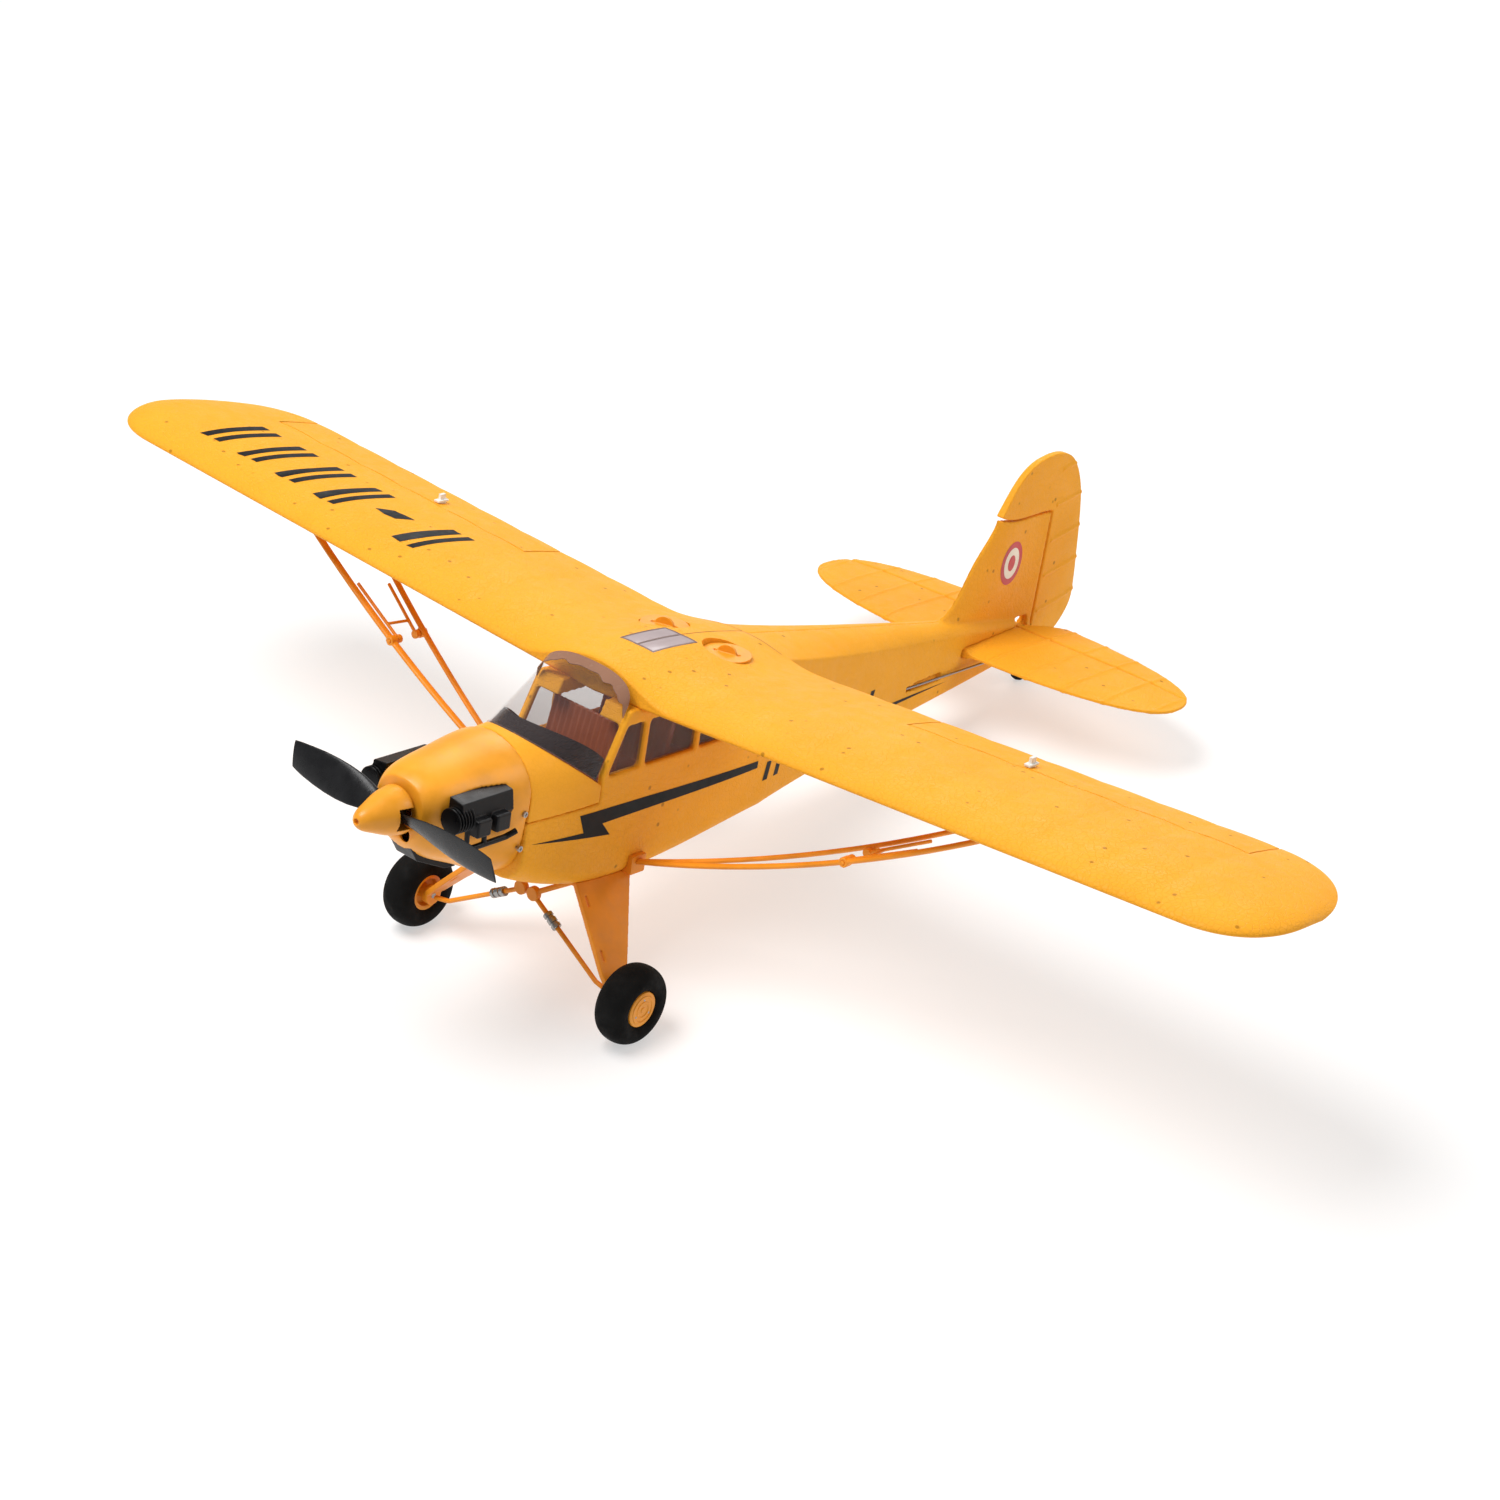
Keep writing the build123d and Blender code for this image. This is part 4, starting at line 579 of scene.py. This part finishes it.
def tail_shape(points):
    """Thins the tailplane and elevator towards their edges and adds low ribs along the chord."""
    x, y = np.abs(points[:, 0]), points[:, 1]
    reach = np.where(y < TAIL_WIDE, TAIL_WIDE - TAIL_FRONT, TAIL_REAR - TAIL_WIDE)
    power = np.where(y < TAIL_WIDE, 2.25, 2.6)
    out, along = np.clip(x / TAIL_HALF, 0, 1.2), np.clip(np.abs(y - TAIL_WIDE) / reach, 0, 1.2)
    radius = (out**power + along**power) ** (1 / power)
    inward = np.clip((1 - radius) * 40.0 / 14.0, 0, 1)
    keep = np.clip((14.0 - x) / 4.0, 0, 1)
    thin = np.maximum(0.34 + 0.66 * inward * (2 - inward), keep)
    height = (points[:, 2] - TAIL_Z) * thin
    ridge = np.exp(-((((x + 8) % 21.0) - 10.5) / 1.0) ** 2)
    flat = np.clip((np.abs(height) - 0.5) / 0.5, 0, 1) * (1 - keep)
    points[:, 2] = TAIL_Z + height + np.sign(height) * 0.6 * ridge * flat
    points[:, 0] = np.sign(points[:, 0]) * np.where(x > 14.0, 14.0 + (x - 14.0) * 0.96, x)
    return points


def fin_shape(points):
    """Thins the rudder towards its rear edge and adds low ribs along the chord."""
    x, y, z = points.T
    rear = np.clip((273.0 - y) / 16.0, 0, 1)
    upper = np.clip((z - 8.0) / 30.0, 0, 1)
    thin = np.where(y > 238, 0.5 + 0.5 * rear * (2 - rear), 1.0) * (1 - 0.25 * upper)
    ridge = np.exp(-((((z + 62 - 0.18 * (y - 238)) % 19.0) - 9.5) / 1.0) ** 2)
    flat = np.clip((np.abs(x) - 0.8) / 0.6, 0, 1) * (y > 240)
    points[:, 0] = x * thin + np.sign(x) * 0.6 * ridge * flat
    return points


def seat_flutes(points):
    """Upright flutes on the seat backs and cushions."""
    x, y, z = points.T
    flute = 0.5 - 0.5 * np.cos(2 * np.pi * x / 3.2)
    high = np.clip((z + 47.5) / 2.0, 0, 1)
    points[:, 1] += 0.45 * flute * high
    return points


for part in ("fuselage_left", "fuselage_right"):
    moulded(part, 0.8, FOAM, rounds=3)
moulded("hood_hatch", 0.5, FOAM_PLAIN, rounds=3)
moulded("nose_cowl", 0.5, MOULDED, rounds=3)
moulded("tailplane", 0.7, FOAM, rounds=4, shape=tail_shape)
moulded("elevator", 0.6, FOAM, rounds=4, shape=tail_shape)
moulded("rudder", 0.5, FOAM, rounds=2, shape=fin_shape)
moulded("seats", 0.5, SEAT_SHADED, rounds=2, shape=seat_flutes)
moulded("chin_scoop", 0.35, BLACK)
moulded("spinner", 0.25, MOULDED)
moulded("strut_fittings", 0.3, BRACKET)
moulded("tail_wheel_fork", 0.2, STEEL, rounds=1)
for part in ("elevator_horn", "rudder_horn", "elevator_arm", "rudder_arm"):
    moulded(part, 0.14, WHITE, rounds=1)
for hand in ("left", "right"):
    moulded("engine_" + hand, 0.28, BLACK, rounds=1)
    moulded("gear_leg_" + hand, 0.35, BRACKET)
    moulded("shock_strut_" + hand, 0.3, BRACKET)
    moulded("wing_struts_" + hand, 0.32, BRACKET)
    moulded("jury_frame_" + hand, 0.22, BRACKET, rounds=1)
    moulded("lock_knob_" + hand, 0.22, MOULDED, rounds=1)
    moulded("aileron_horn_" + hand, 0.14, WHITE, rounds=1)
    moulded("aileron_arm_" + hand, 0.14, WHITE, rounds=1)
    dress("aileron_pushrod_" + hand, STEEL)

PLAIN = {"side_glazing": PANE, "skylight": ROOF_PANE, "dashboard": TRAY, "wing_spar": CARBON,
         "motor_mount": STEEL, "motor_rotor": STEEL, "flight_board": BOARD, "battery": WRAP,
         "servo_cases": SERVO, "axles": STEEL, "screws": DARK_STEEL, "elevator_pushrod": STEEL,
         "rudder_pushrod": STEEL}
for part, material in PLAIN.items():
    dress(part, material)


# ---- windshield ----
HIPS = ((26.6, -119.4, -31.1), (24.8, -104.6, -0.6))
CROWNS = ((-152.5, -9.0), (-101.4, 10.4))


def screen_point(t, angle, trim):
    """A point of the windshield: t from foot to head, angle from one edge (-90) to the other."""
    (w0, y0, z0), (w1, y1, z1) = HIPS
    (cy0, cz0), (cy1, cz1) = CROWNS
    half = w0 + (w1 - w0) * t - trim
    hip = Vector((0, y0 + (y1 - y0) * t, z0 + (z1 - z0) * t))
    crown = Vector((0, cy0 + (cy1 - cy0) * t, cz0 + (cz1 - cz0) * t))
    power = 1.9 + 0.7 * t
    up = (crown - hip).length - trim
    place = hip + (crown - hip).normalized() * up * max(0.0, cos(angle)) ** (2 / power)
    place.x = half * abs(sin(angle)) ** (2 / power) * (1 if angle > 0 else -1)
    return place


def screen_strip(name, low, high, outer, inner, material, replaced=(), rows=28, columns=96):
    """Part of the windshield's surface as a thin closed strip; low and high give t for an angle."""
    points = []
    angles = [pi / 2 * (-1 + 2 * k / columns) * 0.9995 for k in range(columns + 1)]
    for trim in (outer, inner):
        for r in range(rows + 1):
            for a in angles:
                t = low(a) + (high(a) - low(a)) * r / rows
                points.append(tuple(screen_point(t, a, trim)))
    size = (rows + 1) * (columns + 1)
    faces = grid_faces(rows + 1, columns + 1)
    faces += [tuple(size + i for i in reversed(f)) for f in faces]
    rim = list(range(columns + 1))
    rim += [r * (columns + 1) + columns for r in range(1, rows + 1)]
    rim += [rows * (columns + 1) + c for c in range(columns - 1, -1, -1)]
    rim += [r * (columns + 1) for r in range(rows - 1, 0, -1)]
    for a, b in zip(rim, rim[1:] + rim[:1]):
        faces.append((a, b, size + b, size + a))
    mesh_piece(name, points, faces, "hood", material, replaced, 40.0)


def ragged(a):
    """Lower edge of the band round the windshield's head, cut by hand; the band's brown is painted shade of the
    foam seen through the film.
    """
    return 0.895 - 0.05 * sin(a) ** 2 + 0.012 * sin(11 * a) + 0.008 * cos(19 * a + 1)


def coaming_top(a):
    return 0.17 + 0.12 * sin(a) ** 2


def level(t):
    return lambda a: t


screen_strip("windshield_film", level(0.0), level(1.0), 0.4, 0.9, SCREEN, ("windshield",))
# painted shade: the brown band at the windshield's head
screen_strip("screen_header_shade", ragged, level(0.998), 0.0, 0.38, HEADER_SHADE, rows=6)
screen_strip("screen_coaming", level(0.012), coaming_top, 1.3, 2.6, TRAY, rows=10)
screen_strip("screen_hem", level(0.0), level(0.016), 0.0, 0.4, PANE, rows=2)

# ---- wheels ----
WHEEL = (63.5, -122.0, -118.3)


def tyre_profile(outer, waist, half, hub, foot):
    """Balloon section from one bead over the tread to the other."""
    points = [(hub, -foot)]
    for k in range(1, 10):
        a = pi / 2 * k / 10
        points.append((waist - (waist - hub) * cos(a) ** 1.1, -(foot + (half - foot) * sin(a) ** 1.2)))
    for k in range(0, 41):
        a = -pi / 2 + pi * k / 40
        r = waist + (outer - waist) * max(0.0, cos(a)) ** 0.88
        points.append((r, half * abs(sin(a)) ** 0.92 * (1 if a > 0 else -1)))
    for k in range(9, 0, -1):
        a = pi / 2 * k / 10
        points.append((waist - (waist - hub) * cos(a) ** 1.1, foot + (half - foot) * sin(a) ** 1.2))
    points.append((hub, foot))
    return points


# hub cap with its rings, the drum in the tyre, and the open back round the axle's collar
HUB = [(0, 7.3), (1.1, 7.3), (1.4, 6.98), (3.0, 6.95), (3.25, 7.25), (3.8, 7.25), (4.0, 7.0), (5.3, 6.98),
       (5.55, 7.3), (6.35, 7.3), (6.6, 6.95), (7.4, 6.9), (7.95, 6.6), (8.1, 6.2), (8.1, 5.45), (7.6, 5.3),
       (7.6, -5.0), (8.3, -5.2), (8.4, -5.6), (8.3, -6.05), (7.2, -6.1), (6.5, -5.7), (6.3, -2.8),
       (3.5, -2.6), (3.3, -5.6), (3.1, -5.9), (1.31, -5.9), (1.31, 6.3), (0, 6.3)]
PIN = [(0, 0.16), (0.35, 0.16), (0.5, 0.02), (0.5, -0.2), (0, -0.2)]
SLEEVE = [(1.12, 0), (1.12, 8.0), (2.0, 8.0), (2.25, 7.7), (2.25, 6.2), (1.85, 6.0), (1.85, 5.2), (2.2, 5.0),
          (2.2, 3.0), (1.85, 2.8), (1.85, 2.0), (2.25, 1.8), (2.25, 0.3), (2.0, 0)]
TAIL_TYRE = [(0.87, -2.4), (4.2, -2.4), (4.5, -1.9), (5.6, -2.5), (6.6, -1.7), (7.0, 0), (6.6, 1.7),
             (5.6, 2.5), (4.5, 1.9), (4.2, 2.4), (0.87, 2.4)]
TYRE = tyre_profile(17.8, 11.6, 7.7, 7.62, 4.6)
for side, hand in ((1, "left"), (-1, "right")):
    centre, outward, body = (side * WHEEL[0], WHEEL[1], WHEEL[2]), (side, 0, 0), "wheel_" + hand
    lathe("balloon_tyre_" + hand, TYRE, centre, outward, body, RUBBER, ("tyre_" + hand,), steps=120)
    lathe("wheel_cap_" + hand, HUB, centre, outward, body, MOULDED, ("wheel_hub_" + hand,),
          steps=96, angle=28.0)
    for k in range(3):
        a = radians(90 + 120 * k)
        dot = (centre[0] + side * 6.99, centre[1] + 4.65 * cos(a), centre[2] + 4.65 * sin(a))
        lathe(f"cap_pin_{hand}_{k}", PIN, dot, outward, body, DARK_STEEL, steps=20)
    start = Vector((side * 4.6, -123.0, -93.2))
    way = (Vector((side * 44.0, -123.0, -116.4)) - start).normalized()
    lathe("shock_sleeve_" + hand, SLEEVE, start + way * 9.0, way, "airframe", STEEL, steps=48,
          replaced=("shock_sleeves",) if side < 0 else ())
lathe("tail_tyre", TAIL_TYRE, (0, 240, -65), (1, 0, 0), "tail_wheel", RUBBER, ("tail_wheel",))

# ---- propeller ----
RADII = np.array([4.0, 9.0, 14.0, 21.0, 28.0, 35.0, 42.0, 49.0, 54.0, 57.3])
CHORDS = np.array([6.0, 8.6, 11.5, 14.0, 15.2, 15.4, 14.8, 13.4, 12.0, 10.6])
PITCHES = np.radians([50, 44, 38, 31.5, 26, 22, 19, 16.5, 14.5, 13.5])
THICKS = np.array([3.0, 2.8, 2.4, 2.1, 1.9, 1.7, 1.5, 1.3, 1.1, 0.9])


def blade(name, flip):
    """One propeller blade, twisted and with a raked tip."""
    sections = []
    for r in np.linspace(4.0, 57.3, 46):
        chord, pitch, thick = (np.interp(r, RADII, v) for v in (CHORDS, PITCHES, THICKS))
        ring = []
        for k in range(40):
            a = 2 * pi * k / 40
            u = chord / 2 * cos(a)
            v = thick / 2 * sin(a) * (1 - 0.35 * cos(a)) + 0.05 * chord * (0.25 - (u / chord) ** 2)
            slant = (r - 50.0) * 0.35 * (u / chord) if r > 50 else 0.0
            y = -213.0 - u * sin(pitch) - v * cos(pitch)
            z = u * cos(pitch) - v * sin(pitch)
            ring.append((r - slant, y, z))
        sections.append(np.array(ring))
    rest = radians(2.5 + (180 if flip else 0))
    turned = []
    for ring in sections:
        x, y, z = ring.T
        across, height = x * cos(rest) + z * sin(rest), z * cos(rest) - x * sin(rest)
        turned.append(np.stack([across, y, height - 31.3], axis=1))
    loft(name, turned, "rotor", BLADE, ("propeller",), 50.0)


blade("prop_blade_a", False)
blade("prop_blade_b", True)
PROP_HUB = [(1.55, -3.0), (4.8, -3.0), (5.9, -2.4), (6.0, 0), (5.9, 2.4), (4.8, 3.0), (1.55, 3.0)]
lathe("prop_hub", PROP_HUB, (0, -213, -31.3), (0, 1, 0), "rotor", BLADE)

# ---- trim laid on the skins ----
sides = {hand: skin_tree(f"fuselage_{hand}_skin") for hand in ("left", "right")}
wings = {hand: skin_tree(f"wing_skin_{hand}") for hand in ("left", "right")}
STRIPE = [(-154.6, -51.6), (-124.4, -53.3), (-128.0, -44.5), (-8.7, -48.1), (-8.6, -51.6),
          (-112.9, -51.7), (-107.1, -58.3)]
TAIL_STRIPE = [(96.0, -53.6), (104.0, -51.4), (159.6, -52.6)]
BADGE = (208, -1.5)                 # middle of the round badge on the fin


def oval(half_y, half_z, steps):
    turns = [2 * pi * k / steps for k in range(steps)]
    return [(BADGE[0] + half_y * cos(a), BADGE[1] + half_z * sin(a)) for a in turns]


for side, hand in ((1, "left"), (-1, "right")):
    def sideways(u, v, s=side):
        return (s * 60, u, v), (-s, 0, 0)
    decal("side_stripe_" + hand, STRIPE, sideways, sides[hand], INK)
    decal("tail_stripe_" + hand, TAIL_STRIPE, sideways, sides[hand], INK)
    for k, y in enumerate((-3.0, 6.0, 76.0, 85.0)):
        z = -55.0 if k < 2 else -44.0
        bar = [(y, z - 4.5), (y + 3.6, z - 4.5), (y + 5.4, z + 4.5), (y + 1.8, z + 4.5)]
        decal(f"side_bar_{hand}_{k}", bar, sideways, sides[hand], INK)
    decal("fin_badge_" + hand, oval(9.5, 11.5, 40), sideways, sides[hand], RED, 0.10)
    decal("fin_badge_field_" + hand, oval(6.6, 8.2, 40), sideways, sides[hand], CREAM, 0.16)
    decal("fin_badge_core_" + hand, oval(3.2, 4.2, 32), sideways, sides[hand], RED, 0.22)


def downward(u, v):
    return (u, v, 60), (0, 0, -1)


def strip(x, y):
    """Corners of a rectangle in plan."""
    return [(x[0], y[0]), (x[1], y[0]), (x[1], y[1]), (x[0], y[1])]


centre = skin_tree("wing_skin_left", "wing_skin_right")
roof = skin_tree("skylight")
decal("wing_joint", strip((-0.3, 0.3), (-43.6, -1.2)), downward, centre, SEAM, 0.06)
decal("wing_rear_seam", strip((-23.5, 23.5), (-1.4, -0.8)), downward, centre, SEAM, 0.06)
SKYLIGHT_BARS = (((-0.5, 0.5), (-73.8, -44.7)), ((-9.5, 9.5), (-74.1, -73.3)), ((-9.5, 9.5), (-45.2, -44.4)),
                 ((-9.5, -8.7), (-73.3, -45.2)), ((8.7, 9.5), (-73.3, -45.2)))
for k, (x, y) in enumerate(SKYLIGHT_BARS):
    decal(f"skylight_frame_{k}", strip(x, y), downward, roof, FRAME, 0.15)

# slanted bars in place of the letters: five pairs and, fifth in the row, one short dash
BAR_PITCH, DASH = 26.2, 4
for k in range(6):
    x = -276.0 + BAR_PITCH * k
    front, rear = (-64.0, -56.0) if k == DASH else (-79.0, -44.0)
    for part, start, width in (("a", 0.0, 13.0),) if k == DASH else (("a", 0.0, 5.6), ("b", 9.6, 4.4)):
        first = x + start
        last = first + width
        bar = [(first, front), (last, front), (last + 5.0, rear), (first + 5.0, rear)]
        decal(f"wing_bar_{k}_{part}", bar, downward, wings["right"], INK)

# ---- camera, light and floor ----
camera = shown("camera", bpy.data.cameras.new("camera"))
RIGHT, DOWN = (0.75994, 0.63214, 0.15132), (0.35952, -0.21483, -0.90807)
AHEAD = (-0.54152, 0.74448, -0.39053)
axes = [(stance.to_3x3() @ Vector(v)).normalized() for v in (RIGHT, DOWN, AHEAD)]
look = Matrix((axes[0], -axes[1], -axes[2])).transposed()
camera.matrix_world = Matrix.Translation(at(759.77, -1025.0, 488.15)) @ look.to_4x4()
camera.data.lens = 73.54
camera.data.sensor_width = 36.0
camera.data.clip_start = 0.05
bpy.context.scene.camera = camera


def area(name, place, target, size, power):
    """A round soft light of this size in metres and power in watts."""
    lamp = shown(name, bpy.data.lights.new(name, "AREA"))
    lamp.data.shape = "DISK"
    lamp.data.size = size
    lamp.data.energy = power
    lamp.location = place
    lamp.rotation_euler = (Vector(target) - Vector(place)).to_track_quat("-Z", "Y").to_euler()


area("key", (-0.45, -0.75, 1.9), (0, -0.05, 0.08), 1.2, 40)
area("rear", (1.3, 1.2, 1.1), (0, 0.05, 0.1), 1.0, 11)
area("rim", (-0.8, 1.5, 1.2), (0, 0, 0.1), 1.2, 12)
world = bpy.data.worlds.new("studio")
bpy.context.scene.world = world
world.use_nodes = True
world.node_tree.nodes["Background"].inputs["Color"].default_value = (1.0, 1.0, 1.0, 1)
world.node_tree.nodes["Background"].inputs["Strength"].default_value = 0.34

paper = Nodes("floor_paper", rough=0.8, Specular_IOR_Level=0.1, Emission_Strength=0.52)
paper.bsdf.inputs["Emission Color"].default_value = (1, 1, 1, 1)
paper.colour(paper.ramp(paper.noise(3.0, 2.0), (0.3, (0.46, 0.46, 0.46)), (0.7, (0.48, 0.48, 0.48))))
floor_mesh = bpy.data.meshes.new("floor")
floor_mesh.from_pydata([(-6, -6, 0), (6, -6, 0), (6, 6, 0), (-6, 6, 0)], [], [(0, 1, 2, 3)])
floor_mesh.materials.append(paper.mat)
shown("floor", floor_mesh)

bpy.context.scene.view_settings.view_transform = "Standard"
